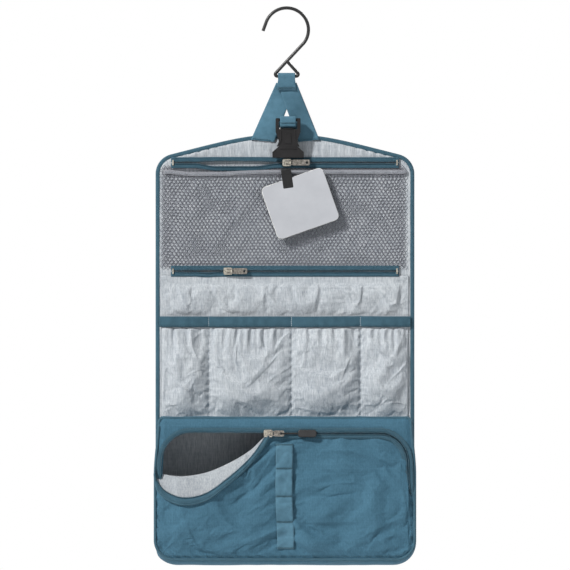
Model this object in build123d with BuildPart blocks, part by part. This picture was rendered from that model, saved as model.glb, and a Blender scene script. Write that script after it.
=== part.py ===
from build123d import *
import os
from math import cos, radians, sin

# Hanging toiletry bag, unfolded.  Millimetres, +Z up, front towards -Y, left towards -X.
# Origin: middle of the bottom edge of the back panel, on its rear face (Y = 0).
# The lower body carries the pouch; the flap meets it along FOLD_Z and carries
# the zipped pockets, the mirror, the hanger with its hook, and the buckle socket.

# ---------------------------------------------------------------- shared dimensions
HALF_W = 141.0          # half width over the edge binding
FOLD_Z = 272.0          # height of the soft fold between body and flap
FOLD_GAP = 0.5          # from the fold to the sheets on either side of it
TOP_Z = 467.0           # top edge of the flap
TOP_HALF_W = 36.0       # half length of the level top edge
SHOULDER_Z = 440.0      # where the slope would meet the side, before rounding
SHOULDER_R = 22.0       # rounding of the shoulder
BODY_R = 20.0           # bottom corners of the body sheets
BODY_Z0 = 3.0           # bottom edge of the shell and lining
BIND_R = 2.7            # rolled edge binding radius
BIND_Y = -2.8           # its centre plane
BIND_INSET = 2.8        # binding centre line inside the outline
BIND_Z0 = 24.0          # lower end of the body binding

GAP = 0.1               # clearance between stacked layers
SHELL_T = 1.2           # outer fabric
FOAM_T = 3.0            # padding
FOAM_INSET = 9.0
LINING_T = 1.0
LINING_Y = -5.4         # front face of the lining
BODY_INSET = 5.7        # shell and lining inside the body outline
FLAP_INSET = 6.2        # the same on the flap
WEB_T = 1.2             # webbing thickness
SLEEVE_R = 3.4          # webbing wrapped round a bar, outside
SLEEVE_HOLE_R = 2.1

POUCH_HALF_W = 142.0
POUCH_H = 160.0
POUCH_BACK = -5.6
POUCH_FRONT = -57.0     # front face of the pouch
POUCH_R = 24.0          # bottom corner radius seen from the front
POUCH_TOP_R = 12.0      # top corner radius
POUCH_WALL = 1.6
POUCH_LINING_INSET = 1.8
PIPING_INSET = 1.0
PIPING_R = 1.7

TAPE_T = 0.6            # zip tape thickness
COIL_T = 1.2            # zip coil thickness
COIL_STEP = 0.7         # coil rear face in front of the tape rear face
PULL_STEP = 4.5         # pull axis in front of the tape rear face
PULL_HOLE_BACK = 3.2    # pull hole, back from the free end


# ---------------------------------------------------------------- helpers
def save(part, label):
    part.label = label
    export_step(part, f"parts/{label}.step")


def facing(y):
    """Sketch plane at depth y, facing the front: sketch x is X, sketch y is Z."""
    return Plane.XZ.offset(-y)


def flap_points(inset):
    """Corner points of the flap outline, moved inwards, from lower left to lower right."""
    side, base = HALF_W - inset, FOLD_Z + FOLD_GAP
    # 0.775 and 0.126 carry the corners at the two ends of the slope inwards
    shoulder = SHOULDER_Z - 0.775 * inset
    top_x, top = TOP_HALF_W - 0.126 * inset, TOP_Z - inset
    return [(-side, base), (-side, shoulder), (-top_x, top),
            (top_x, top), (side, shoulder), (side, base)]


def flap_sheet(inset, y_rear, thick):
    with BuildPart() as sheet:
        with BuildSketch(facing(y_rear)) as outline:
            with BuildLine():
                Polyline(*flap_points(inset), close=True)
            make_face()
            upper = outline.vertices().filter_by(lambda v: v.Y > FOLD_Z + 40)
            fillet(upper, SHOULDER_R - inset)
        extrude(amount=thick)
    return sheet.part


def body_sheet(inset, y_rear, thick, z0, z1):
    with BuildPart() as sheet:
        with BuildSketch(facing(y_rear)) as outline:
            with Locations((0, (z0 + z1) / 2)):
                Rectangle(2 * (HALF_W - inset), z1 - z0)
            fillet(outline.vertices().group_by(Axis.Y)[0], BODY_R)
        extrude(amount=thick)
    return sheet.part


def flat_patch(x, y_rear, z, width, height, radius, thick):
    """Round-cornered plate facing the front."""
    with BuildPart() as patch:
        with BuildSketch(facing(y_rear)):
            with Locations((x, z)):
                RectangleRounded(width, height, radius)
        extrude(amount=thick)
    return patch.part


os.makedirs("parts", exist_ok=True)

# ---------------------------------------------------------------- body and flap sheets
BODY_TOP = FOLD_Z - FOLD_GAP
FOAM_Y = -SHELL_T - GAP
LINING_REAR = LINING_Y + LINING_T

save(body_sheet(BODY_INSET, 0, SHELL_T, BODY_Z0, BODY_TOP), "back_panel")
save(body_sheet(FOAM_INSET, FOAM_Y, FOAM_T, 8, FOLD_Z - 4), "back_padding")
save(body_sheet(BODY_INSET, LINING_REAR, LINING_T, BODY_Z0, BODY_TOP), "back_lining")
save(flap_sheet(FLAP_INSET, 0, SHELL_T), "flap_shell")
save(flap_sheet(FOAM_INSET, FOAM_Y, FOAM_T), "flap_padding")
save(flap_sheet(FLAP_INSET, LINING_REAR, LINING_T), "flap_lining")

with BuildPart() as body_binding:
    for side in (-1, 1):
        with BuildSketch(Plane.XY.offset(BIND_Z0)):
            with Locations((side * (HALF_W - BIND_INSET), BIND_Y)):
                Circle(BIND_R)
        extrude(amount=BODY_TOP - BIND_Z0)
save(body_binding.part, "body_binding")

with BuildPart() as flap_binding:
    with BuildLine(facing(BIND_Y)) as rim:
        FilletPolyline(*flap_points(BIND_INSET), radius=SHOULDER_R - BIND_INSET)
    with BuildSketch(Plane.XY.offset(FOLD_Z + FOLD_GAP)):
        with Locations((-HALF_W + BIND_INSET, BIND_Y)):
            Circle(BIND_R)
    sweep(path=rim.wire(), transition=Transition.ROUND)
save(flap_binding.part, "flap_binding")

# ---------------------------------------------------------------- pouch
ZIP_TOP = 143.0         # straight run of the pouch zip
ZIP_SIDE = 132.0        # X of its upright runs
ZIP_END = 86.0          # their lower ends
ZIP_R = 28.0            # corners between them
ZIP_SLOT_W = 9.4

# Lower edge of the open left end of the zip: (x, z)
MOUTH = [(-24, 140.5), (-48, 112), (-74, 86), (-104, 70), (-124, 76), (-131.5, 92)]
# Upper edge of the opening, from the left end of MOUTH: (x, z)
MOUTH_TOP = [(-131.5, 115), (-104, 143), (-24, 143)]


def arch_points(outwards, start_x=None):
    """Corners of a line parallel to the pouch zip, left to right or from start_x."""
    top, side = ZIP_TOP + outwards, ZIP_SIDE + outwards
    right = [(side, top), (side, ZIP_END)]
    if start_x is None:
        return [(-side, ZIP_END), (-side, top)] + right
    return [(start_x, top)] + right


def pouch_tray(inset, y_rear, y_front, wall, chamfer_size):
    """Open-backed tray: front face and the gusset all round it."""
    with BuildPart() as tray:
        with BuildSketch(facing(y_rear)) as ring:
            with Locations((0, POUCH_H / 2)):
                Rectangle(2 * (POUCH_HALF_W - inset), POUCH_H - 2 * inset)
            fillet(ring.vertices().group_by(Axis.Y)[0], POUCH_R - inset)
            fillet(ring.vertices().group_by(Axis.Y)[-1], POUCH_TOP_R - inset)
        extrude(amount=y_rear - y_front)
        chamfer(tray.faces().sort_by(Axis.Y)[0].edges(), chamfer_size)
        offset(amount=-wall, openings=tray.faces().sort_by(Axis.Y)[-1])
    return tray.part


def cut_mouth(part, y_front, depth):
    """Cut the open left end of the zip and the slot along it, from 1 mm before y_front."""
    with BuildPart() as opened:
        add(part)
        with BuildSketch(facing(y_front - 1)):
            with BuildLine():
                mouth_low = Spline(*MOUTH)
                Polyline(mouth_low @ 1, *MOUTH_TOP, mouth_low @ 0)
            make_face()
        extrude(amount=-depth, mode=Mode.SUBTRACT)
        with BuildSketch(facing(y_front - 1)):
            with BuildLine():
                FilletPolyline(*arch_points(0), radius=ZIP_R)
            trace(line_width=ZIP_SLOT_W)
        extrude(amount=-depth, mode=Mode.SUBTRACT)
    return opened.part


shell_tray = pouch_tray(0, POUCH_BACK, POUCH_FRONT, POUCH_WALL, chamfer_size=5.0)
save(cut_mouth(shell_tray, POUCH_FRONT, depth=4.0), "pouch_shell")

LINING_FRONT = POUCH_FRONT + POUCH_LINING_INSET
lining_tray = pouch_tray(POUCH_LINING_INSET, POUCH_BACK - GAP, LINING_FRONT,
                         wall=0.8, chamfer_size=4.2)
save(cut_mouth(lining_tray, LINING_FRONT, depth=3.4), "pouch_lining")

with BuildPart() as pouch_piping:
    with BuildSketch(facing(POUCH_FRONT + PIPING_INSET)) as rim_outline:
        with Locations((0, POUCH_H / 2)):
            Rectangle(2 * (POUCH_HALF_W - PIPING_INSET), POUCH_H - 2 * PIPING_INSET)
        fillet(rim_outline.vertices().group_by(Axis.Y)[0], POUCH_R - PIPING_INSET)
        fillet(rim_outline.vertices().group_by(Axis.Y)[-1], POUCH_TOP_R - PIPING_INSET)
    # The outline only gives the path, so its face must not be swept as well
    pipe_path = pouch_piping.pending_faces[0].outer_wire()
    pouch_piping.pending_faces.clear()
    with BuildSketch(Plane(origin=pipe_path @ 0, z_dir=pipe_path % 0)):
        Circle(PIPING_R)
    sweep(path=pipe_path)
save(pouch_piping.part, "pouch_piping")

# Board inside the bottom of the pouch
with BuildPart() as base_board:
    with BuildSketch(Plane.XY.offset(2.8)):
        with Locations((0, (POUCH_BACK + POUCH_FRONT) / 2)):
            RectangleRounded(220, 34, 4)
    extrude(amount=2.0)
save(base_board.part, "base_board")

# ---------------------------------------------------------------- pouch zip
MAIN_ZIP_Y = POUCH_FRONT - GAP
MAIN_COIL_Y = MAIN_ZIP_Y - COIL_STEP
MAIN_SLIDER_X = -18.0
MAIN_TAPE_W = 5.0
MAIN_TAPE_OUT = 3.2     # tape centre line from the zip's
MAIN_COIL_W = 1.5
MAIN_COIL_OUT = 1.5


def arch_band(y_rear, thick, outwards, width, start_x=None):
    """A band beside the pouch zip's centre line, all of it or right of start_x."""
    with BuildPart() as band:
        with BuildSketch(facing(y_rear)):
            with BuildLine():
                FilletPolyline(*arch_points(outwards, start_x), radius=ZIP_R + outwards)
            trace(line_width=width)
        extrude(amount=thick)
    return band.part


save(arch_band(MAIN_ZIP_Y, TAPE_T, MAIN_TAPE_OUT, MAIN_TAPE_W), "main_zip_tape_upper")
save(arch_band(MAIN_ZIP_Y, TAPE_T, -MAIN_TAPE_OUT, MAIN_TAPE_W, MAIN_SLIDER_X),
     "main_zip_tape_lower")

# Tape along the lower edge of the open end
with BuildPart() as mouth_tape:
    with BuildSketch(facing(MAIN_ZIP_Y)):
        with BuildLine():
            Spline(*[(x + 1.0, z - 4.6) for x, z in MOUTH[1:-1]])
        trace(line_width=MAIN_TAPE_W)
    extrude(amount=TAPE_T)
save(mouth_tape.part, "mouth_zip_tape")

with BuildPart() as main_zip_coil:
    add(arch_band(MAIN_COIL_Y, COIL_T, MAIN_COIL_OUT, MAIN_COIL_W))
    add(arch_band(MAIN_COIL_Y, COIL_T, -MAIN_COIL_OUT, MAIN_COIL_W, MAIN_SLIDER_X))
save(main_zip_coil.part, "main_zip_coil")

# ---------------------------------------------------------------- elastic pockets
BAND_Z0, BAND_Z1 = 256.5, 267.5
DIVIDERS = (-133.0, -83.0, 7.0, 82.0, 133.0)   # X of the pocket seams
POCKET_DEPTH = 12.0
POCKET_Y = LINING_Y - 1.2
BAND_Y = LINING_Y - 2.2


def wavy(y_root, width, z0, z1):
    """Upright sheet that bulges forwards between the pocket seams."""
    with BuildPart() as sheet:
        with BuildSketch(Plane.XY.offset(z0)):
            with BuildLine():
                for a, b in zip(DIVIDERS[:-1], DIVIDERS[1:]):
                    crest = ((a + b) / 2, y_root - POCKET_DEPTH)
                    ThreePointArc((a, y_root), crest, (b, y_root))
            trace(line_width=width)
        extrude(amount=z1 - z0)
    return sheet.part


save(wavy(POCKET_Y, 1.2, POUCH_H + 1, BAND_Z0 - 0.2), "elastic_pocket")

# Band with a closed slot along its middle for the tape
with BuildPart() as elastic_band:
    add(wavy(BAND_Y, 2.8, BAND_Z0, BAND_Z1))
    add(wavy(BAND_Y, 1.4, BAND_Z0 + 1.5, BAND_Z1 - 1.5), mode=Mode.SUBTRACT)
save(elastic_band.part, "elastic_band")
save(wavy(BAND_Y, 1.0, BAND_Z0 + 2, BAND_Z1 - 2), "elastic_tape")

# ---------------------------------------------------------------- loop strap on the pouch front
STRAP_X = 0.0
STRAP_W = 18.0
STRAP_STATIONS = [132.0, 105.0, 76.0, 48.0, 26.0]   # Z where the strap is held down
STRAP_Y = POUCH_FRONT - 0.8
STRAP_CREST_Y = POUCH_FRONT - 2.4

with BuildPart() as loop_strap:
    with BuildSketch(Plane.YZ.offset(STRAP_X - STRAP_W / 2)):
        with BuildLine():
            for a, b in zip(STRAP_STATIONS[:-1], STRAP_STATIONS[1:]):
                ThreePointArc((STRAP_Y, a), (STRAP_CREST_Y, (a + b) / 2), (STRAP_Y, b))
        trace(line_width=WEB_T)
    extrude(amount=STRAP_W)
save(loop_strap.part, "loop_strap")

with BuildPart() as loop_bartacks:
    for z in STRAP_STATIONS[1:-1]:
        with BuildSketch(facing(POUCH_FRONT - 1.9)):
            with Locations((STRAP_X, z)):
                RectangleRounded(17, 2.0, 0.9)
        extrude(amount=0.7)
save(loop_bartacks.part, "loop_bartacks")

# ---------------------------------------------------------------- flap pockets
MESH_ZIP_Z = 435.0
FLAT_ZIP_Z = 317.0
ZIP_CLEAR = 6.4         # from a zip's centre line to the pocket beside it


def open_back_box(z0, z1, y_front):
    with BuildPart() as pocket:
        y_rear = LINING_Y - 0.2
        with BuildSketch(facing(y_rear)):
            with Locations((0, (z0 + z1) / 2)):
                RectangleRounded(2 * 134, z1 - z0, 3)
        extrude(amount=y_rear - y_front)
        fillet(pocket.faces().sort_by(Axis.Y)[0].edges(), 1.6)
        offset(amount=-0.8, openings=pocket.faces().sort_by(Axis.Y)[-1])
    return pocket.part


save(open_back_box(FLAT_ZIP_Z + ZIP_CLEAR, MESH_ZIP_Z - ZIP_CLEAR, -12.0), "mesh_pocket")
save(open_back_box(FOLD_Z + 2, FLAT_ZIP_Z - ZIP_CLEAR, -10.0), "flat_pocket")

# ---------------------------------------------------------------- flap zips
ZIP_HALF = 124.0        # half length of the two flap zips
ZIP_Y = -7.0            # rear face of their tapes


def zip_pair(zc, y_rear, thick, z_in, z_out, half):
    """Two mirrored strips, z_in to z_out above and below a level zip line."""
    with BuildPart() as pair:
        with BuildSketch(facing(y_rear)):
            for side in (-1, 1):
                with Locations((0, zc + side * (z_in + z_out) / 2)):
                    Rectangle(2 * half, z_out - z_in)
        extrude(amount=thick)
    return pair.part


def zip_stops(zc):
    """A stop near each end of the tapes."""
    with BuildPart() as stops:
        for side in (-1, 1):
            with BuildSketch(facing(ZIP_Y - COIL_STEP)):
                with Locations((side * (ZIP_HALF - 2.2), zc)):
                    RectangleRounded(1.6, 6.0, 0.6)
            extrude(amount=1.3)
    return stops.part


for name, zc in (("mesh_zip", MESH_ZIP_Z), ("flat_zip", FLAT_ZIP_Z)):
    save(zip_pair(zc, ZIP_Y, TAPE_T, 0.7, 5.8, ZIP_HALF), f"{name}_tape")
    save(zip_pair(zc, ZIP_Y - COIL_STEP, COIL_T, 0.7, 2.2, ZIP_HALF - 4), f"{name}_coil")
    save(zip_stops(zc), f"{name}_stops")


# ---------------------------------------------------------------- sliders and pulls
def zip_slider(xc, zc, y_tape):
    """Two plates round the coil, joined by a thin wedge, with a bridge for the pull."""
    # Front plate, then rear plate: (rear face Y, length, height, thickness)
    plates = [(y_tape - 2.2, 9.5, 7.8, 1.0), (y_tape + 1.2, 8.5, 7.4, 0.9)]
    bridge_foot, bridge_top = y_tape - 3.1, y_tape - 6.2
    with BuildPart() as slider:
        for y_rear, length, height, thick in plates:
            with BuildSketch(facing(y_rear)):
                with Locations((xc, zc)):
                    RectangleRounded(length, height, 1.8)
            extrude(amount=thick)
        # wedge between the plates
        with BuildSketch(facing(y_tape + 0.6)):
            with Locations((xc - 3.0, zc)):
                Rectangle(2.6, 0.8)
        extrude(amount=3.0)
        # lips above and below, behind the front plate
        with BuildSketch(facing(y_tape - 1.0)):
            for side in (-1, 1):
                with Locations((xc, zc + side * 3.4)):
                    Rectangle(6.0, 0.8)
        extrude(amount=1.4)
        # bridge with the hole for the pull's bar
        with BuildSketch(Plane.XY.offset(zc - 0.9)):
            with BuildLine():
                Polyline((xc - 3.2, bridge_foot), (xc - 2.2, bridge_top),
                         (xc + 2.2, bridge_top), (xc + 3.2, bridge_foot), close=True)
            make_face()
            with Locations((xc, y_tape - PULL_STEP)):
                Circle(1.0, mode=Mode.SUBTRACT)
        extrude(amount=1.8)
    return slider.part


def zip_pull(xc, zc, y_tape, length):
    """Stirrup whose bar sits under the slider's bridge, and a flat grip plate."""
    yc = y_tape - PULL_STEP
    bar_length, thick = 5.4, 1.2
    plate_x = 6.0       # start of the grip plate from the bar
    plate_length = length - plate_x
    with BuildPart() as pull:
        with BuildSketch(Plane.XY.offset(zc - bar_length / 2)):
            with Locations((xc, yc)):
                Circle(0.7)
        extrude(amount=bar_length)
        with BuildSketch(facing(yc + thick / 2)):
            for side in (-1, 1):
                with Locations((xc + 3.2, zc + side * 2.1)):
                    Rectangle(7.4, 1.2)
            with Locations((xc + plate_x + plate_length / 2, zc)):
                RectangleRounded(plate_length, 6.4, 1.6)
            with Locations((xc + length - PULL_HOLE_BACK, zc)):
                Circle(1.3, mode=Mode.SUBTRACT)
        extrude(amount=thick)
    return pull.part


MAIN_PULL_LENGTH = 17
# Name, slider centre X and Z, tape rear face Y, pull length
SLIDERS = [
    ("mesh", 2.0, MESH_ZIP_Z, ZIP_Y, 25),
    ("flat", -62.0, FLAT_ZIP_Z, ZIP_Y, 21),
    ("main", MAIN_SLIDER_X, ZIP_TOP, MAIN_ZIP_Y, MAIN_PULL_LENGTH),
]
for name, xc, zc, y_tape, pull_length in SLIDERS:
    save(zip_slider(xc, zc, y_tape), f"{name}_slider")
    save(zip_pull(xc, zc, y_tape, pull_length), f"{name}_pull")

# Cord loop through the main pull's hole, with a grip on its end
CORD_X = MAIN_SLIDER_X + MAIN_PULL_LENGTH - PULL_HOLE_BACK
CORD_Y = MAIN_ZIP_Y - PULL_STEP
CORD_BEND_R = 2.0
CORD_END_X = CORD_X + 17.7
CORD_R = 0.7
GRIP_X = CORD_X + 28
GRIP_T = 5.2

with BuildPart() as pull_cord:
    with BuildLine(Plane.XY.offset(ZIP_TOP)) as cord_line:
        bend_x = CORD_X + CORD_BEND_R
        y_rear, y_front = CORD_Y + CORD_BEND_R, CORD_Y - CORD_BEND_R
        Line((CORD_END_X, y_rear), (bend_x, y_rear))
        ThreePointArc((bend_x, y_rear), (CORD_X, CORD_Y), (bend_x, y_front))
        Line((bend_x, y_front), (CORD_END_X, y_front))
    with BuildSketch(Plane.YZ.offset(CORD_END_X)):
        with Locations((y_rear, ZIP_TOP)):
            Circle(CORD_R)
    sweep(path=cord_line.wire())
save(pull_cord.part, "pull_cord")

with BuildPart() as cord_grip:
    with BuildSketch(facing(CORD_Y + GRIP_T / 2)):
        with Locations((GRIP_X, ZIP_TOP)):
            RectangleRounded(20, 8, 3)
    extrude(amount=GRIP_T)
    chamfer(cord_grip.faces().filter_by(Axis.Y).edges(), 0.8)
    # scallops along the upper and lower edges
    with BuildSketch(facing(CORD_Y + 3)):
        with Locations((GRIP_X, ZIP_TOP)):
            with GridLocations(5, 9.4, 3, 2):
                Circle(1.1)
    extrude(amount=6, mode=Mode.SUBTRACT)
save(cord_grip.part, "cord_grip")

# ---------------------------------------------------------------- hanger
BAR_Y, BAR_Z = -8.4, 529.0      # the hook's straight bar, in the hanger sleeve
HANGER_Y = -7.2                 # rear face of the left leg
# Legs crossing towards the sleeve: rear face Y, then (x, z) corners
HANGER_LEGS = [
    (HANGER_Y, [(-36, 469.8), (-13.5, 469.8), (7, 519), (-9, 519)]),
    (HANGER_Y - WEB_T - GAP, [(16, 469.8), (36, 469.8), (12, 519), (-4, 519)]),
]
# Ends of the legs on the flap: (x, z) corners
HANGER_TAILS = [
    [(-37, 468.8), (-14, 468.8), (-17.5, 458.5), (-41, 461)],
    [(16.5, 468.8), (36.5, 468.8), (40.5, 461), (19.5, 458.5)],
]

with BuildPart() as hanger_webbing:
    for y_rear, corners in HANGER_LEGS:
        with BuildSketch(facing(y_rear)):
            with BuildLine():
                Polyline(*corners, close=True)
            make_face()
        extrude(amount=WEB_T)
    # block joining the legs to the sleeve
    with BuildSketch(facing(HANGER_Y)):
        with Locations((1.8, 521.4)):
            Rectangle(19, 10)
    extrude(amount=2.5)
    with BuildSketch(Plane.YZ.offset(-7.4)):
        with Locations((BAR_Y, BAR_Z)):
            Circle(SLEEVE_R)
            Circle(SLEEVE_HOLE_R, mode=Mode.SUBTRACT)
    extrude(amount=18.4)
save(hanger_webbing.part, "hanger_webbing")

save(flat_patch(1.5, -9.8, 518.5, 18, 1.6, 0.7, 0.6), "hanger_bartack")

with BuildPart() as hanger_tails:
    with BuildSketch(facing(-6.0)):
        for corners in HANGER_TAILS:
            with BuildLine():
                Polyline(*corners, close=True)
            make_face()
    extrude(amount=WEB_T)
save(hanger_tails.part, "hanger_tails")

# ---------------------------------------------------------------- hook
HOOK_R = 23.7           # hook bend, wire centre line
HOOK_CX, HOOK_CZ = 1.8, 579.5
HOOK_TIP_LENGTH = 10    # straight end beyond the bend
WIRE_R = 1.8


def hook_point(angle):
    """(x, z) on the hook bend, angle in degrees from +X."""
    return (HOOK_CX + HOOK_R * cos(radians(angle)), HOOK_CZ + HOOK_R * sin(radians(angle)))


with BuildPart() as hook:
    with BuildLine(facing(BAR_Y)) as hook_line:
        bend = ThreePointArc(hook_point(160), hook_point(65), hook_point(-36))
        Line((bend @ 0) - (bend % 0) * HOOK_TIP_LENGTH, bend @ 0)
    with BuildSketch(Plane(origin=hook_line.wire() @ 0, z_dir=hook_line.wire() % 0)):
        Circle(WIRE_R)
    sweep(path=hook_line.wire())
    # triangular ring below the bend; its lower side is the straight bar
    with BuildLine(facing(BAR_Y)) as ring_line:
        FilletPolyline(hook_point(-36), (-13.2, BAR_Z), (17.0, BAR_Z), (2.4, 545.0), radius=2.1)
    with BuildSketch(Plane(origin=ring_line.wire() @ 0, z_dir=ring_line.wire() % 0)):
        Circle(WIRE_R)
    sweep(path=ring_line.wire())
save(hook.part, "hook")

# ---------------------------------------------------------------- buckle socket on its tab
SOCKET_X = 3.3
SOCKET_BAR_Y, SOCKET_BAR_Z = -16.0, 481.0
TAB_W = 18
SOCKET_T = 8
CAVITY_T = 5.2          # cavity and side windows, front to back
BUCKLE_BAR_R = 1.8
# Side profile of the tab's webbing below the sleeve: (y, z)
TAB_PROFILE = [
    (-12.7, 479), (-10.8, 474), (-10.8, 467.5), (-6.9, 461), (-6.9, 449), (-5.7, 449),
    (-5.7, 461.6), (-9.6, 468), (-9.6, 475.5), (-12.4, 483), (-13.6, 482.6),
]
# Half outline of the socket, top to mouth: (distance from SOCKET_X, z)
SOCKET_HALF = [(13.5, 482.8), (13.5, 468), (10.2, 459), (10.2, 452), (17, 446), (17, 440)]

with BuildPart() as buckle_tab:
    with BuildSketch(Plane.YZ.offset(SOCKET_X - TAB_W / 2)):
        with Locations((SOCKET_BAR_Y, SOCKET_BAR_Z)):
            Circle(SLEEVE_R)
            Circle(SLEEVE_HOLE_R, mode=Mode.SUBTRACT)
        with BuildLine():
            Polyline(*TAB_PROFILE, close=True)
        make_face()
    extrude(amount=TAB_W)
save(buckle_tab.part, "buckle_tab")

with BuildPart() as buckle_socket:
    with BuildSketch(facing(SOCKET_BAR_Y + SOCKET_T / 2)):
        with BuildLine():
            Polyline(*[(SOCKET_X - x, z) for x, z in SOCKET_HALF],
                     *[(SOCKET_X + x, z) for x, z in reversed(SOCKET_HALF)], close=True)
        make_face()
    extrude(amount=SOCKET_T)
    fillet(buckle_socket.edges().filter_by(Axis.Y), 1.2)
    # window for the webbing round the bar
    with BuildSketch(facing(SOCKET_BAR_Y + 6)):
        with Locations((SOCKET_X, 477.2)):
            Rectangle(20, 12.4)
    extrude(amount=12, mode=Mode.SUBTRACT)
    # cavity that takes the plug, wide at the mouth: (bottom Z, width, height)
    for z0, width, height in ((439, 26.5, 8.5), (447, 17.4, 19)):
        with BuildSketch(Plane.XY.offset(z0)):
            with Locations((SOCKET_X, SOCKET_BAR_Y)):
                Rectangle(width, CAVITY_T)
        extrude(amount=height, mode=Mode.SUBTRACT)
    # side windows for the arms
    with BuildSketch(Plane.YZ.offset(SOCKET_X - 20)):
        with Locations((SOCKET_BAR_Y, 456)):
            Rectangle(CAVITY_T, 14)
    extrude(amount=40, mode=Mode.SUBTRACT)
    # the bar
    with BuildSketch(Plane.YZ.offset(SOCKET_X - 11)):
        with Locations((SOCKET_BAR_Y, SOCKET_BAR_Z)):
            Circle(BUCKLE_BAR_R)
    extrude(amount=22)
save(buckle_socket.part, "buckle_socket")

# ---------------------------------------------------------------- mirror on its strap
MIRROR_X, MIRROR_Y, MIRROR_Z = 16.6, -14.0, 390.3   # centre of its rear face
MIRROR_TILT = 19.4      # degrees about Y
MIRROR_STRAP_TILT = 8
SNAP_Y = -12.1
SNAP_X, SNAP_Z = 1.1, 426.0


def tilted(x, y, z, tilt):
    """Front-facing plane with its sketch x axis raised by tilt degrees."""
    return Plane(origin=(x, y, z), x_dir=(cos(radians(tilt)), 0, sin(radians(tilt))),
                 z_dir=(0, -1, 0))


def tilted_plate(plane, width, height, radius, thick):
    with BuildPart() as plate:
        with BuildSketch(plane):
            RectangleRounded(width, height, radius)
        extrude(amount=thick)
    return plate.part


mirror_plane = tilted(MIRROR_X, MIRROR_Y, MIRROR_Z, MIRROR_TILT)
strap_plane = tilted(2.4, MIRROR_Y - 2.5, 417.0, MIRROR_STRAP_TILT)
save(tilted_plate(mirror_plane, 71, 60, 6, 1.2), "mirror_back")
save(tilted_plate(mirror_plane.offset(1.3), 70, 59, 5.5, 1.0), "mirror_face")
save(tilted_plate(strap_plane, 11, 20, 1, 1.1), "mirror_strap")

# Plate with a pin running forwards
with BuildPart() as mirror_snap:
    with BuildSketch(facing(SNAP_Y)):
        with Locations((SNAP_X, SNAP_Z)):
            RectangleRounded(11, 4.6, 1)
    extrude(amount=0.9)
    with BuildSketch(facing(SNAP_Y)):
        with Locations((SNAP_X, SNAP_Z)):
            Circle(1.6)
    extrude(amount=SNAP_Y - MIRROR_Y + 2.3)
save(mirror_snap.part, "mirror_snap")

# ---------------------------------------------------------------- closing strap, on the back
PLUG_BAR_Y, PLUG_BAR_Z = 4.8, 98.0
PLUG_STRAP_W = 19
PLUG_T = 7.2
PRONG_T = 3.6           # tongue and arms, front to back
# Side profile of the strap below the sleeve: (y, z)
PLUG_STRAP_PROFILE = [
    (0.1, 22.5), (1.3, 22.5), (1.3, 90), (3.4, 95.2), (2.2, 95.9), (1.2, 94), (0.1, 90.5),
]
# Middle tongue of the plug: (x, z)
TONGUE = [(-3, 111), (3, 111), (3, 128), (1.8, 131), (-1.8, 131), (-3, 128)]
# Right arm of the plug: (x, z)
ARM = [
    (8.4, 111.8), (11.4, 111.8), (12.4, 118), (15.2, 122),
    (14.6, 128), (11.4, 132), (9.8, 132), (9.4, 120),
]


def plug_prong(points):
    with BuildPart() as prong:
        with BuildSketch(facing(PLUG_BAR_Y + PRONG_T / 2)):
            with BuildLine():
                Polyline(*points, close=True)
            make_face()
        extrude(amount=PRONG_T)
    return prong.part


with BuildPart() as plug_anchor:
    with BuildSketch(facing(1.3)):
        with Locations((0, 15)):
            Rectangle(20, 13)
    extrude(amount=WEB_T)
save(plug_anchor.part, "plug_anchor")

with BuildPart() as plug_strap:
    with BuildSketch(Plane.YZ.offset(-PLUG_STRAP_W / 2)):
        with Locations((PLUG_BAR_Y, PLUG_BAR_Z)):
            Circle(SLEEVE_R)
            Circle(SLEEVE_HOLE_R, mode=Mode.SUBTRACT)
        with BuildLine():
            Polyline(*PLUG_STRAP_PROFILE, close=True)
        make_face()
    extrude(amount=PLUG_STRAP_W)
save(plug_strap.part, "plug_strap")

with BuildPart() as buckle_plug:
    # crosspiece and the two cheeks that hold the bar
    with BuildSketch(facing(PLUG_BAR_Y + PLUG_T / 2)):
        with Locations((0, 108.5)):
            Rectangle(31, 6)
        for side in (-1, 1):
            with Locations((side * 13.5, 102)):
                Rectangle(4, 9)
    extrude(amount=PLUG_T)
    fillet(buckle_plug.edges().filter_by(Axis.Y), 0.8)
    with BuildSketch(Plane.YZ.offset(-13)):
        with Locations((PLUG_BAR_Y, PLUG_BAR_Z)):
            Circle(BUCKLE_BAR_R)
    extrude(amount=26)
    add(plug_prong(TONGUE))
save(buckle_plug.part, "buckle_plug")

save(plug_prong([(-x, z) for x, z in ARM]), "plug_arm_left")
save(plug_prong(ARM), "plug_arm_right")
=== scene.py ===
# A hanging wash bag, opened out: a zipped pouch at the foot, a row of gathered pockets above it,
# then a flap with a flat zipped pocket, a net pocket, and a webbing hanger with a hook.
# The front faces -Y, X runs from left to right seen from the front, and Z is up, with the
# bag's foot near 0. Lengths are in mm and become metres (MM) when a mesh is made.
import bpy
import bmesh
import math
import numpy as np
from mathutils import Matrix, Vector, noise

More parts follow.
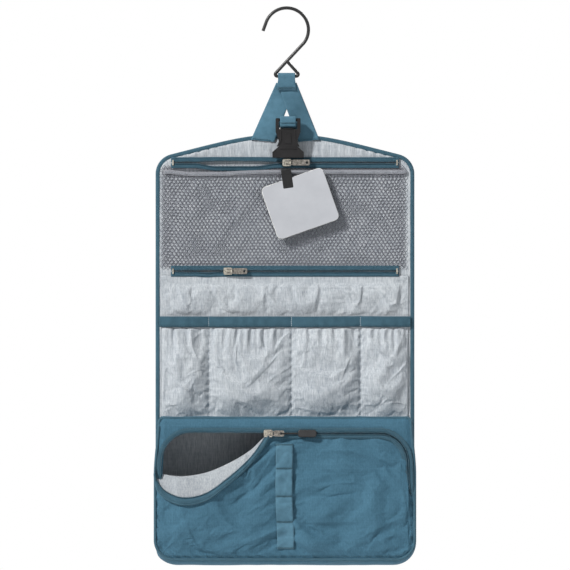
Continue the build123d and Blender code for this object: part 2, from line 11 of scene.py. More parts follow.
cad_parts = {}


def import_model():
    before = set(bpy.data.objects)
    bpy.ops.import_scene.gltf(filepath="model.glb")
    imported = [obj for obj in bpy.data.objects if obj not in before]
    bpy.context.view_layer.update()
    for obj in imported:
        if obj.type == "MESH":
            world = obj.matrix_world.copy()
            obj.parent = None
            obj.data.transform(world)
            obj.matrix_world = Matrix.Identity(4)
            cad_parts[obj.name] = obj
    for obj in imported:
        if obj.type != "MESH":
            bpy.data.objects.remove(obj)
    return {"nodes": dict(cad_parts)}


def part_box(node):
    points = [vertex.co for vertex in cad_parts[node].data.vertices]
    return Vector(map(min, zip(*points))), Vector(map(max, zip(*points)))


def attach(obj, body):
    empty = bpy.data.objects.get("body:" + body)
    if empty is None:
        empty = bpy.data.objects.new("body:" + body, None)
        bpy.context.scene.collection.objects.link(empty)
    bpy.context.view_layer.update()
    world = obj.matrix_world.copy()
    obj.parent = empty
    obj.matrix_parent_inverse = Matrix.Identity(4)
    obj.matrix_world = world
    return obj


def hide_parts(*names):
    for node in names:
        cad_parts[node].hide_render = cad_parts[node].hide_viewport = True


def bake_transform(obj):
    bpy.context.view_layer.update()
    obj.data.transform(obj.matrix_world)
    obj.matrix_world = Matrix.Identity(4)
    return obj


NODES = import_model()["nodes"]
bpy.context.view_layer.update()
MM = 0.001
FORWARD, BACKWARD = (0, -1, 0), (0, 1, 0)

# The back panel and flap: one flat shape with sloping, rounded shoulders.
HALF_WIDTH = 141.0
PANEL_TOP = 467.0
SHOULDER_Z, SHOULDER_RADIUS = 440.0, 22.0
SHOULDER_SLOPE, SHOULDER_COS, SHOULDER_SIN = 0.2571, 0.9685, 0.249
FOOT_RADIUS = 22
FOLD_Z = 272.0
PANEL_HALF = HALF_WIDTH - 4.4

# The pouch: the back outline at the panel and the smaller outline of its front.
POUCH_HALF, POUCH_RADIUS, POUCH_TOP_RADIUS = 142.0, 24.0, 5.0
FRONT_HALF, FRONT_FOOT, FRONT_TOP, FRONT_RADIUS = 138.9, 7.6, 159.4, 21.0
FRONT_Y = -56.2
POUCH_CENTRE_Z = 80.0
ARCH_TOP, ARCH_HALF, ARCH_END, ARCH_RADIUS = 143.0, 132.0, 86.0, 28
MAIN_ZIP_Y = -57.25
MOUTH_X = -17       # the zip is open from here to the left

# Where a piece passes from one moving body to the next: bodies, then start and end in metres.
FOLD_BLEND = ("body", "flap", (0, -0.014, 0.260), (0, -0.014, 0.284))
HANGER_BLEND = ("flap", "hanger", (0, -0.0028, 0.4655), (0, -0.0028, 0.4765))
STRAP_BLEND = ("body", "plug_strap", (0, 0.0017, 0.0195), (0, 0.0017, 0.0255))


# ---------------------------------------------------------------- shader nodes
def feed(tree, socket, value):
    """Links a socket, or sets its value; a colour may leave out its alpha."""
    if isinstance(value, bpy.types.NodeSocket):
        tree.links.new(value, socket)
    elif socket.type == "RGBA":
        socket.default_value = (*value, 1)
    else:
        socket.default_value = value


def add_node(tree, kind, inputs=None, **properties):
    node = tree.nodes.new("ShaderNode" + kind)
    for key, value in properties.items():
        setattr(node, key, value)
    for key, value in (inputs or {}).items():
        feed(tree, node.inputs[key], value)
    return node


class Shader:
    """A material with one Principled surface, and short calls that add nodes to it."""

    def __init__(self, name, **inputs):
        self.material = bpy.data.materials.new(name)
        self.material.use_nodes = True
        self.tree = self.material.node_tree
        self.tree.nodes.clear()
        output = add_node(self.tree, "OutputMaterial")
        self.surface = add_node(self.tree, "BsdfPrincipled")
        self.tree.links.new(self.surface.outputs[0], output.inputs[0])
        self.paint(**inputs)

    def paint(self, **inputs):
        """Sets or links surface inputs; underscores stand for spaces."""
        for key, value in inputs.items():
            feed(self.tree, self.surface.inputs[key.replace("_", " ")], value)

    def coords(self, scale=(1, 1, 1)):
        place = add_node(self.tree, "TexCoord").outputs["Object"]
        return add_node(self.tree, "Mapping", {"Scale": scale, "Vector": place}).outputs[0]

    def noise(self, vector, scale, detail=3.0, roughness=0.55):
        inputs = {"Scale": scale, "Detail": detail, "Roughness": roughness, "Vector": vector}
        return add_node(self.tree, "TexNoise", inputs).outputs["Fac"]

    def bands(self, vector, pitch, axis):
        """Straight bands across an axis, about `pitch` mm apart."""
        inputs = {"Scale": 1000 / pitch / 6.283 * 2, "Distortion": 0.0, "Detail": 1.0,
                  "Detail Scale": 1.0, "Vector": vector}
        return add_node(self.tree, "TexWave", inputs, bands_direction=axis).outputs["Fac"]

    def math(self, operation, first, second):
        return add_node(self.tree, "Math", {0: first, 1: second}, operation=operation).outputs[0]

    def add(self, first, second):
        return self.math("ADD", first, second)

    def times(self, first, second):
        return self.math("MULTIPLY", first, second)

    def ramp(self, factor, *stops):
        """Colours from (position, colour) stops."""
        node = add_node(self.tree, "ValToRGB", {"Fac": factor})
        elements = node.color_ramp.elements
        while len(elements) < len(stops):
            elements.new(0.5)
        for element, (position, color) in zip(elements, stops):
            element.position = position
            element.color = (*color, 1)
        return node.outputs["Color"]

    def mix(self, factor, first, second):
        """Mixes two colours; 6 and 7 are the node's colour sockets."""
        node = add_node(self.tree, "Mix", data_type="RGBA")
        for index, value in ((0, factor), (6, first), (7, second)):
            feed(self.tree, node.inputs[index], value)
        return node.outputs[2]

    def bump(self, height, strength, distance):
        inputs = {"Strength": strength, "Distance": distance, "Height": height}
        node = add_node(self.tree, "Bump", inputs)
        self.paint(Normal=node.outputs[0])
        return node

    def worn_bump(self, height, edge_radius):
        """Fine grain over edges that are shaded as rounded."""
        node = self.bump(height, strength=0.25, distance=0.0001)
        bevel = add_node(self.tree, "Bevel", {"Radius": edge_radius}, samples=4)
        self.tree.links.new(bevel.outputs[0], node.inputs["Normal"])


def scaled(color, factor):
    return tuple(channel * factor for channel in color)


def grey(value):
    return (value,) * 3


# ---------------------------------------------------------------- materials
def shell_fabric():
    """Blue plain weave with slow colour drift and a faint ripstop grid."""
    dark, light = (0.029, 0.090, 0.138), (0.056, 0.150, 0.222)
    s = Shader("shell_fabric", Roughness=0.82, Sheen_Weight=0.06, Sheen_Roughness=0.5,
               Sheen_Tint=tuple(c * 3 + 0.15 for c in light), Specular_IOR_Level=0.3)
    cloth = s.coords()
    thread_x, thread_z, thread_y = [s.bands(cloth, pitch=0.6, axis=axis) for axis in "XZY"]
    weave = s.times(s.math("MAXIMUM", thread_x, thread_y), thread_z)
    broad = s.noise(cloth, scale=38, detail=4)
    fine = s.noise(s.coords((1, 1, 0.35)), scale=900, detail=2)
    drift = s.add(s.times(broad, 0.35), s.times(fine, 0.65))
    color = s.ramp(drift, (0.28, dark), (0.72, light))
    color = s.mix(s.times(weave, 0.22), color, scaled(dark, 0.55))
    grid_x, grid_z = [s.bands(cloth, pitch=5.2, axis=axis) for axis in "XZ"]
    grid = s.math("GREATER_THAN", s.math("MAXIMUM", grid_x, grid_z), 0.985)
    s.paint(Base_Color=s.mix(s.times(grid, 0.12), color, scaled(light, 1.5)))
    s.bump(s.add(weave, s.times(broad, 1.2)), strength=0.5, distance=0.0003)
    return s.material


def melange(name, bright=1.0):
    """Grey lining: fine two-tone slub yarns that run up the bag. A bright below 1 darkens the yarn
    colours, for copies painted as shade.
    """
    s = Shader(name, Roughness=0.88, Sheen_Weight=0.08, Specular_IOR_Level=0.2)
    cloth = s.coords()
    streak = s.noise(s.coords((1, 1, 0.10)), scale=820, detail=3, roughness=0.75)
    thin = s.noise(s.coords((1, 1, 0.12)), scale=1500, detail=2, roughness=0.6)
    cross = s.noise(s.coords((0.10, 0.10, 1)), scale=800, detail=2, roughness=0.6)
    yarn = s.add(s.times(streak, 0.62), s.times(thin, 0.24))
    yarn = s.add(yarn, s.times(cross, 0.14))
    # bright scales the yarn colours; below 1 it is painted shade, not a different yarn.
    color = s.ramp(yarn, (0.36, scaled((0.225, 0.255, 0.30), bright)),
                   (0.48, scaled((0.375, 0.41, 0.445), bright)),
                   (0.60, scaled((0.55, 0.58, 0.61), bright)))
    broad = s.ramp(s.noise(cloth, scale=22), (0.35, (0.33, 0.36, 0.40)),
                   (0.65, (0.46, 0.49, 0.52)))
    s.paint(Base_Color=s.mix(0.30, color, broad))
    weave = s.times(*[s.bands(cloth, pitch=0.5, axis=axis) for axis in "XZ"])
    s.bump(s.add(weave, s.times(yarn, 1.5)), strength=0.45, distance=0.0003)
    return s.material


def ribbed(name, dark, light, pitch, axis="Z", rough=0.7):
    """Webbing, tape or thread: strong ribs across, fine warp along."""
    s = Shader(name, Roughness=rough, Sheen_Weight=0.06, Specular_IOR_Level=0.3)
    cloth = s.coords()
    rib = s.bands(cloth, pitch, axis)
    warp = s.bands(cloth, pitch=0.7, axis="Z" if axis == "X" else "X")
    shade = s.add(s.times(rib, 0.45), s.times(s.noise(cloth, scale=160), 0.55))
    s.paint(Base_Color=s.ramp(shade, (0.2, dark), (0.75, light)))
    s.bump(s.add(rib, s.times(warp, 0.6)), strength=0.9, distance=0.00025)
    return s.material


def plastic(name, color, rough, grain=2400, edge_radius=0.0005, **inputs):
    s = Shader(name, **inputs)
    place = s.coords()
    fine = s.noise(place, scale=grain, detail=2)
    broad = s.noise(place, scale=120, detail=2)
    s.paint(Base_Color=s.ramp(broad, (0.3, scaled(color, 0.8)), (0.7, scaled(color, 1.5))),
            Roughness=s.ramp(broad, (0.3, grey(rough * 0.85)), (0.7, grey(rough * 1.2))))
    s.worn_bump(fine, edge_radius)
    return s.material


def metal(name, color, rough, wear, metallic=1.0):
    s = Shader(name, Metallic=metallic)
    place = s.coords()
    patches = s.noise(place, scale=420, detail=4, roughness=0.65)
    fine = s.noise(place, scale=3000, detail=2)
    s.paint(Base_Color=s.ramp(patches, (0.35, scaled(color, 0.45)), (0.60, color), (0.75, wear)),
            Roughness=s.ramp(fine, (0.3, grey(rough * 0.8)), (0.7, grey(rough * 1.3))))
    s.worn_bump(s.add(patches, s.times(fine, 0.4)), edge_radius=0.00035)
    return s.material


def mirror_acrylic():
    s = Shader("mirror_acrylic", Metallic=1.0)
    place = s.coords()
    tint, haze = s.noise(place, scale=30), s.noise(place, scale=260, detail=5, roughness=0.7)
    s.paint(Base_Color=s.ramp(tint, (0.3, (0.55, 0.56, 0.59)), (0.7, (0.62, 0.63, 0.66))),
            Roughness=s.ramp(haze, (0.4, grey(0.10)), (0.75, grey(0.22))))
    return s.material


SHELL = shell_fabric()
BINDING = ribbed("edge_binding", (0.022, 0.068, 0.100), (0.046, 0.122, 0.172), pitch=0.9)
WEBBING = ribbed("webbing", (0.038, 0.112, 0.165), (0.088, 0.205, 0.288), pitch=1.2)
TAPE = ribbed("zip_tape", (0.018, 0.062, 0.094), (0.042, 0.115, 0.165), pitch=0.8, axis="X",
              rough=0.62)
COIL = plastic("zip_coil", (0.020, 0.060, 0.088), rough=0.38, edge_radius=0.0002)
LINING = melange("lining_melange")
# The same grey lining painted darker (0.85) as the shade inside the pouch.
SHADED_LINING_INNER = melange("lining_inner_painted_shade", bright=0.85)
# The same grey lining painted darker still (0.74) as shade on the lip turned out at the mouth.
SHADED_LINING_LIP = melange("lining_lip_painted_shade", bright=0.74)
NET = ribbed("netting", (0.110, 0.113, 0.138), (0.26, 0.264, 0.308), pitch=0.5, rough=0.6)
HEM = ribbed("mesh_hem_tape", (0.20, 0.21, 0.24), (0.36, 0.37, 0.41), pitch=0.6)
BLACK_WEBBING = ribbed("black_webbing", (0.003, 0.003, 0.0035), (0.011, 0.011, 0.012), pitch=1.0)
BUCKLE = plastic("buckle_acetal", (0.006, 0.0055, 0.006), rough=0.46, Specular_IOR_Level=0.28)
GRIP = plastic("grip_rubber", (0.008, 0.008, 0.009), rough=0.55)
HOOK = metal("hook_coating", (0.009, 0.009, 0.0095), rough=0.36, wear=(0.016, 0.016, 0.017),
             metallic=0.15)
ZIP_METAL = metal("zip_die_cast", (0.58, 0.54, 0.46), rough=0.24, wear=(0.92, 0.87, 0.76))
PULL = metal("zip_pull_antique", (0.30, 0.275, 0.245), rough=0.30, wear=(0.66, 0.61, 0.53))
THREAD = ribbed("thread_blue", (0.030, 0.088, 0.125), (0.075, 0.165, 0.22), pitch=0.4)
LIGHT_THREAD = ribbed("thread_light", (0.30, 0.36, 0.42), (0.55, 0.62, 0.68), pitch=0.4)
FOAM = plastic("foam", (0.030, 0.085, 0.12), rough=0.9, grain=900)
BACKING = plastic("mirror_backing", (0.55, 0.55, 0.54), rough=0.6, grain=900)
BOARD = plastic("board", (0.05, 0.05, 0.05), rough=0.6)
MIRROR = mirror_acrylic()


# ---------------------------------------------------------------- mesh helpers
def link_mesh(name, mesh, material):
    piece = bpy.data.objects.new(name, mesh)
    bpy.context.scene.collection.objects.link(piece)
    mesh.materials.append(material)
    return piece


def mesh_object(name, vertices, faces, material):
    """A smooth-shaded object from vertices in mm."""
    mesh = bpy.data.meshes.new(name)
    mesh.from_pydata((np.reshape(vertices, (-1, 3)) * MM).tolist(), [], faces)
    mesh.validate()
    mesh.update()
    piece = link_mesh(name, mesh, material)
    mesh.polygons.foreach_set("use_smooth", np.full(len(mesh.polygons), True))
    return piece


def bmesh_object(name, bm, material):
    """A flat-shaded object from a bmesh in metres."""
    mesh = bpy.data.meshes.new(name)
    bm.to_mesh(mesh)
    bm.free()
    return link_mesh(name, mesh, material)


def grid_faces(columns, rows, wrap_columns=False, wrap_rows=False):
    faces = []
    for i in range(columns if wrap_columns else columns - 1):
        for j in range(rows if wrap_rows else rows - 1):
            here, beside = i * rows, (i + 1) % columns * rows
            above = (j + 1) % rows
            faces.append((here + j, beside + j, beside + above, here + above))
    return faces


def solidify(piece, thickness, offset=0.0):
    modifier = piece.modifiers.new("thickness", "SOLIDIFY")
    modifier.thickness = thickness * MM
    modifier.offset = offset
    return piece


def recalc_normals(piece):
    bm = bmesh.new()
    bm.from_mesh(piece.data)
    bmesh.ops.recalc_face_normals(bm, faces=bm.faces)
    bm.to_mesh(piece.data)
    bm.free()
    return piece


def sheet(name, grid, material, thickness, offset=0.0, closed=False):
    """Cloth over a grid of points (column, row, xyz)."""
    faces = grid_faces(*grid.shape[:2], wrap_columns=closed)
    return solidify(mesh_object(name, grid, faces, material), thickness, offset)


def points(x, y, z):
    """Stacks coordinates, arrays or single values, into points."""
    return np.stack(np.broadcast_arrays(x, y, z), -1)


def fill_grid(column_x, low, high, share):
    """x and z of columns that run from low to high, with rows at the given shares."""
    low, high = np.reshape(low, (-1, 1)), np.reshape(high, (-1, 1))
    return np.broadcast_arrays(column_x[:, None], low + (high - low) * share)


@np.vectorize
def perlin(x, y, z):
    return noise.noise(Vector((x, y, z)))


def noise_3d(x, y, z, scale, seed):
    return perlin(x * scale + seed * 13.7, y * scale + seed * 5.3, z * scale - seed * 7.1)


def noise_xz(x, z, scale_x, scale_z, seed):
    return perlin(x * scale_x + seed * 17.3, z * scale_z - seed * 9.1, seed)


def ridged(x, z, scale_x, scale_z, seed):
    return 1.0 - 2.2 * np.abs(noise_xz(x, z, scale_x, scale_z, seed))


def smooth01(t):
    t = np.clip(t, 0, 1)
    return t * t * (3 - 2 * t)


def hold_back(y, limit, amount):
    """Where amount is 1, y comes no further forward than the limit."""
    return y * (1 - amount) + np.maximum(y, limit) * amount


def soften(y, limit, keep):
    """Keeps only a share of what stands in front of the limit."""
    return np.where(y < limit, limit + (y - limit) * keep, y)


def fold_line(x, z, fold):
    """One soft fold: narrow where it starts, wide and shallow where it runs out."""
    start_x, start_z, end_x, end_z, width, depth, skew = fold
    run_x, run_z = end_x - start_x, end_z - start_z
    length = math.hypot(run_x, run_z)
    unit_x, unit_z = run_x / length, run_z / length
    share = ((x - start_x) * unit_x + (z - start_z) * unit_z) / length
    bow = math.sin(start_x * 12.9 + start_z * 4.1 + end_x * 7.7)
    bend = 0.15 * bow * length * np.sin(np.clip(share, 0, 1.3) * math.pi * 0.8)
    off = (x - start_x) * (-unit_z) + (z - start_z) * unit_x + bend
    spread = width * (0.75 + 1.05 * np.clip(share, 0, 1.5)) * np.where(off > 0, 1 + skew, 1 - skew)
    window = smooth01((share + 0.25) / 0.4) * smooth01(1.5 - share) ** 0.8
    return depth * np.exp(-np.abs(off / spread) ** 1.9) * window


def all_folds(x, z, folds):
    return sum(fold_line(x, z, fold) for fold in folds)


def ring_section(count, half_side, half_normal, power=1.0):
    """Closed oval section; a power below 1 squares it off."""
    angle = np.linspace(0, 2 * math.pi, count, endpoint=False)
    c, s = np.cos(angle), np.sin(angle)
    return np.stack([half_side * np.sign(c) * np.abs(c) ** power,
                     half_normal * np.sign(s) * np.abs(s) ** power], 1)


def tangents(path, closed=False):
    if closed:
        steps = np.roll(path, -1, 0) - np.roll(path, 1, 0)
    else:
        steps = np.gradient(path, axis=0)
    return steps / np.linalg.norm(steps, axis=1)[:, None]


def inward(path, centre_z, closed=False):
    """Sideways directions along a path round the bag, towards (0, 0, centre_z)."""
    side = np.cross(tangents(path, closed), BACKWARD)
    return side * np.sign((((0, 0, centre_z) - path) * side).sum(1))[:, None]


def sweep(name, path, section, material, normal=BACKWARD, closed=False):
    """Sweeps a closed section (side, normal) along a path, with caps if it is open."""
    along = tangents(path, closed)
    side = np.cross(along, normal)
    side /= np.linalg.norm(side, axis=1)[:, None]
    up = np.cross(side, along)
    vertices = (path[:, None, :] + side[:, None, :] * section[None, :, 0, None]
                + up[:, None, :] * section[None, :, 1, None])
    columns, rows = len(path), len(section)
    faces = grid_faces(columns, rows, wrap_columns=closed, wrap_rows=True)
    if not closed:
        faces.append(tuple(range(rows)))
        faces.append(tuple(range((columns - 1) * rows, columns * rows))[::-1])
    return recalc_normals(mesh_object(name, vertices, faces, material))


def resample(path, step):
    path = np.array(path, float)
    distance = np.r_[0, np.cumsum(np.linalg.norm(np.diff(path, axis=0), axis=1))]
    count = max(2, int(round(distance[-1] / step)) + 1)
    at = np.linspace(0, distance[-1], count)
    return np.stack([np.interp(at, distance, path[:, axis]) for axis in range(3)], 1)


def catmull(path, steps):
    """Catmull-Rom curve through the points."""
    path = [np.array(p, float) for p in path]
    path = [2 * path[0] - path[1]] + path + [2 * path[-1] - path[-2]]
    curve = []
    for p0, p1, p2, p3 in zip(path, path[1:], path[2:], path[3:]):
        for t in np.linspace(0, 1, steps, endpoint=False):
            curve.append(0.5 * ((2 * p1) + (-p0 + p2) * t
                                + (2 * p0 - 5 * p1 + 4 * p2 - p3) * t * t
                                + (-p0 + 3 * p1 - 3 * p2 + p3) * t ** 3))
    curve.append(path[-2])
    return np.array(curve)


# Shape of one bead: rings (place along, width, height), and ring points (across, up).
BEAD_RINGS = np.array(((-0.5, 0.35, 0.4), (-0.25, 1, 1), (0.25, 1, 1), (0.5, 0.35, 0.4)))
BEAD_POINTS = np.array(((-0.5, 0), (-0.5, 0.7), (-0.18, 1), (0.18, 1), (0.5, 0.7), (0.5, 0)))


def beads(name, path, size, pitch, material, up, lift, across):
    """Stitches or zip teeth: rounded blocks of size (length, width, height) along a path."""
    path = resample(path, pitch)
    up = np.array(up, float)
    along = np.diff(path, axis=0)
    along /= np.linalg.norm(along, axis=1)[:, None]
    side = np.cross(along, up)
    centre = (path[:-1] + path[1:]) / 2 + up * lift
    if across:
        along, side = side, along
    length, width, height = size
    place, wide, high = BEAD_RINGS.T[:, :, None, None]
    sideways, rise = BEAD_POINTS.T[:, :, None]
    centre, along, side = [a[:, None, None] for a in (centre, along, side)]
    vertices = (centre + along * length * place + side * width * wide * sideways
                + up * height * high * rise)
    faces = []
    for base in range(0, len(centre) * 24, 24):
        for ring in range(base, base + 18, 6):
            for j in range(6):
                a, b = ring + j, ring + (j + 1) % 6
                faces.append((a, b, b + 6, a + 6))
        faces.append(tuple(range(base, base + 6))[::-1])
        faces.append(tuple(range(base + 18, base + 24)))
    return recalc_normals(mesh_object(name, vertices, faces, material))


def place(piece, where, slot, *replaced):
    if isinstance(where, tuple):
        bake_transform(piece)
    else:
        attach(piece, where)
    if replaced:
        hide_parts(*replaced)


def stitch(name, path, where, size, pitch, *replaced, material=THREAD, up=FORWARD, lift=0.0,
           across=False):
    place(beads(name, path, size, pitch, material, up, lift, across), where, "thread", *replaced)


def coil(name, path, where, size, pitch, *replaced):
    teeth = beads(name, path, size, pitch, COIL, FORWARD, lift=0.0, across=True)
    place(teeth, where, "zip_tape", *replaced)


def across_line(centre_x, half, y, z, count):
    """A level line of points, for a row of stitches."""
    return points(centre_x + np.linspace(-1, 1, count) * half, y, z)


# ---------------------------------------------------------------- cloth settling
def read_points(mesh):
    return np.array([vertex.co for vertex in mesh.vertices]) / MM


def write_points(mesh, co):
    mesh.vertices.foreach_set("co", (co * MM).astype(np.float32).ravel())
    mesh.update()


def edge_pins(shape, foot_rows, head_rows):
    """Marks the grid points at the edges, which stay put."""
    pins = np.zeros(shape, bool)
    pins[:2] = pins[-2:] = True
    pins[:, :foot_rows] = pins[:, -head_rows:] = True
    return pins


def relax(piece, pins, frames, shrink, limit):
    """Lets the fabric settle for some frames; no point moves further than limit."""
    start = read_points(piece.data)
    group = piece.vertex_groups.new(name="pin")
    for index in np.flatnonzero(pins):
        group.add([int(index)], 1.0, "REPLACE")
    modifier = piece.modifiers.new("cloth", "CLOTH")
    settings = modifier.settings
    settings.quality = 6
    settings.mass = 0.15
    settings.tension_stiffness = settings.compression_stiffness = 12.0
    settings.shear_stiffness = 5
    settings.bending_stiffness = 0.25
    settings.vertex_group_mass = "pin"
    settings.shrink_min = shrink
    settings.effector_weights.gravity = 0.0
    modifier.collision_settings.use_collision = False
    scene = bpy.context.scene
    for frame in range(1, frames + 1):
        scene.frame_set(frame)
    settled = piece.evaluated_get(bpy.context.evaluated_depsgraph_get())
    move = read_points(settled.data) - start
    piece.modifiers.remove(modifier)
    scene.frame_set(1)
    length = np.linalg.norm(move, axis=1)
    share = np.minimum(1, limit / np.maximum(length, 1e-6))
    write_points(piece.data, start + move * share[:, None])


# ---------------------------------------------------------------- outlines
def corner_cut(x, half, radius):
    """How far a rounded corner draws the edge in at x."""
    into = np.abs(x) - (half - radius)
    return np.where(into > 0, radius - np.sqrt(np.maximum(radius ** 2 - into ** 2, 0)), 0)


def flap_top(x, inset):
    """Top edge of the flap, moved inwards by inset, at each x."""
    ax = np.abs(x)
    slope = SHOULDER_Z + (HALF_WIDTH - ax) * SHOULDER_SLOPE - inset / SHOULDER_COS
    blend = 4.0     # softens the corner between the slope and the level top
    z = -np.logaddexp(-slope / blend, -(PANEL_TOP - inset) / blend) * blend
    arc_x = HALF_WIDTH - SHOULDER_RADIUS
    arc_z = SHOULDER_Z + SHOULDER_RADIUS * SHOULDER_SLOPE - SHOULDER_RADIUS / SHOULDER_COS
    radius = SHOULDER_RADIUS - inset
    arc = arc_z + np.sqrt(np.maximum(radius ** 2 - np.maximum(ax - arc_x, 0) ** 2, 0))
    return np.where(ax > arc_x + SHOULDER_RADIUS * SHOULDER_SIN, arc, z)


def dense(half, count):
    """x from -half to half, closer together towards the ends."""
    return half * np.sin(np.linspace(-1, 1, count) * math.pi / 2)


# ---------------------------------------------------------------- back fabric and lining
panel_x = dense(PANEL_HALF, 121)
panel_low = 2.2 + corner_cut(panel_x, PANEL_HALF, FOOT_RADIUS)
panel_high = flap_top(panel_x, 4.6)
PANEL_GRID = fill_grid(panel_x, panel_low, panel_high, np.linspace(0, 1, 161))


def back_fabric():
    """The outer fabric, one sheet over the fold."""
    x, z = PANEL_GRID
    edge = np.minimum(PANEL_HALF - np.abs(x), z - panel_low[:, None])
    crown = smooth01(np.minimum(edge, panel_high[:, None] - z) / 22)
    y = -0.9 + 0.8 * crown + 0.35 * noise_xz(x, z, 0.012, 0.02, seed=1) * crown
    y += 0.3 * np.maximum(ridged(x, z, 0.02, 0.035, seed=2), 0) * crown
    y -= 1.3 * np.exp(-((z - FOLD_Z) / 4.0) ** 2)
    piece = sheet("back_fabric", points(x, y, z), SHELL, thickness=0.7, offset=1.0)
    place(piece, FOLD_BLEND, "shell_fabric", "back_panel", "flap_shell")
    return piece


def fold_seams(back):
    """Two rows of stitches, laid on the outer face of the back, beside the fold."""
    bpy.context.view_layer.update()
    target = back.evaluated_get(bpy.context.evaluated_depsgraph_get())
    for number, z in enumerate((FOLD_Z - 3.2, FOLD_Z + 3.2), 1):
        path = []
        for x in np.linspace(-132, 132, 133):
            hit, at, _, _ = target.ray_cast((x * MM, 0.05, z * MM), FORWARD)
            path.append((x, (at[1] / MM if hit else -0.8) - 0.2, z))
        stitch(f"fold_seam_{number}", path, FOLD_BLEND, size=(2.3, 0.55, 0.35), pitch=3.3,
               up=BACKWARD, lift=0.1)


def lining():
    """Grey lining, one sheet, puckered along the top."""
    x, z = PANEL_GRID
    wave = np.sin(x * 0.62 + 2.2 * noise_xz(x, z, 0.03, 0.01, seed=5))
    pucker = 0.95 * wave * smooth01((z - 440) / 6) * smooth01((466 - z) / 22)
    sides = smooth01((HALF_WIDTH - 6 - np.abs(x)) / 12)
    y = -5.3 - 0.5 * noise_xz(x, z, 0.015, 0.02, seed=3) * sides - pucker
    y -= 0.35 * smooth01((z - 436) / 8)
    piece = sheet("lining", points(x, y, z), LINING, thickness=0.5, offset=-1.0)
    place(piece, FOLD_BLEND, "lining_fabric", "back_lining", "flap_lining")


fold_seams(back_fabric())
lining()


# ---------------------------------------------------------------- edge binding
def edge_binding():
    """Binding from the foot, up both sides and over the top, with its seam."""
    inset = 2.8
    side_x = HALF_WIDTH - inset
    corner_x, corner_z = side_x - FOOT_RADIUS, 25
    angle = np.linspace(1.5 * math.pi, math.pi, 20)[1:-1]
    top_x = np.r_[-side_x + np.linspace(0, 1, 24)[1:] ** 2 * 17, np.linspace(-118, 0, 60)]
    left = np.vstack((
        points(np.linspace(-2, -corner_x, 60), 0, corner_z - FOOT_RADIUS),
        points(-corner_x + FOOT_RADIUS * np.cos(angle), 0, corner_z + FOOT_RADIUS * np.sin(angle)),
        points(-side_x, 0, np.linspace(corner_z, 415, 150)),
        points(top_x, 0, flap_top(top_x, inset))))
    path = resample(np.vstack((left, left[::-1][1:] * (-1, 1, 1))), step=1.6)
    path[:, 1] = -2.8 + 0.25 * noise_3d(path[:, 0], 0, path[:, 2], scale=0.03, seed=4)
    section = ring_section(20, half_side=2.75, half_normal=2.95, power=0.75)
    place(sweep("edge_binding", path, section, BINDING), FOLD_BLEND, "binding",
          "body_binding", "flap_binding")
    seam = path + inward(path, centre_z=250.0) * 1.5 + (0, -2.55, 0)
    stitch("binding_seam", seam, FOLD_BLEND, size=(2.0, 0.5, 0.35), pitch=2.9)


edge_binding()


# ---------------------------------------------------------------- zips on the flap
def flap_zip(prefix, centre_z, slider_x, droop):
    """A zip across the flap, open to the left of its slider."""
    x, zip_y = np.linspace(-124.0, 124.0, 160), -7.3
    gape = smooth01((slider_x - 7 - x) / 30) * smooth01((x + 99) / 24)
    share = np.linspace(0, 1, 8)
    # Where open: shift of the inner and outer edge, how far tape and seam come forward.
    # Last, how far the tape leans back.
    halves = (("upper", 1, 0.8, 0.2, 0.0, 0.0, 0.3),
              ("lower", -1, -droop, -droop * 0.85, 1.4, 0.4, 0.0))
    for half, side, inner_shift, outer_shift, tape_out, seam_out, lean in halves:
        replaced = half == "upper"
        inner_z = centre_z + side * 0.7 + gape * inner_shift
        outer_z = centre_z + side * 5.9 + gape * outer_shift
        z = inner_z[:, None] + (outer_z - inner_z)[:, None] * share
        y = zip_y - 0.25 * np.sin(share * math.pi) + lean * share
        y = y - gape[:, None] * tape_out * (1 - share)
        tape = sheet(f"{prefix}_tape_{half}", points(x[:, None], y, z), TAPE, thickness=0.5)
        place(tape, "flap", "zip_tape", *[f"{prefix}_tape"] * replaced)
        path = points(x, zip_y - 0.45 - gape * tape_out, inner_z + side * 0.5)[3:-3]
        coil(f"{prefix}_coil_{half}", path, "flap", (1.5, 0.85, 1.0), 1.25,
             *[f"{prefix}_coil"] * replaced)
        path = points(x, zip_y - 0.25 - gape * seam_out, outer_z - side * 1.1)[2:-2]
        stitch(f"{prefix}_seam_{half}", path, "flap", size=(1.8, 0.45, 0.4), pitch=2.6, lift=0.1)


flap_zip("mesh_zip", centre_z=435.0, slider_x=2.0, droop=3.2)
flap_zip("flat_zip", centre_z=317.0, slider_x=-62.0, droop=2.0)


# ---------------------------------------------------------------- net pocket
def mesh_hem():
    """Tape along the top of the net, sagging under the open zip."""
    def sag(x):
        return 2.2 * smooth01((-30 - x) / 40) * smooth01((x + 128) / 26)

    x = np.linspace(-132, 132, 160)[:, None]
    share = np.linspace(0, 1, 6)
    y = -7.5 - 0.35 * np.sin(share * math.pi) - 0.3 * noise_3d(x, 0, 0, scale=0.05, seed=4)
    grid = points(x, y, 422.6 + 4.6 * share - sag(x))
    place(sheet("mesh_hem", grid, HEM, thickness=0.5), "flap", "mesh_fabric")
    x = np.linspace(-131, 131, 150)
    stitch("mesh_hem_seam", points(x, -8.2, 424.6 - sag(x)), "flap", size=(1.9, 0.5, 0.4),
           pitch=2.8, material=LIGHT_THREAD)


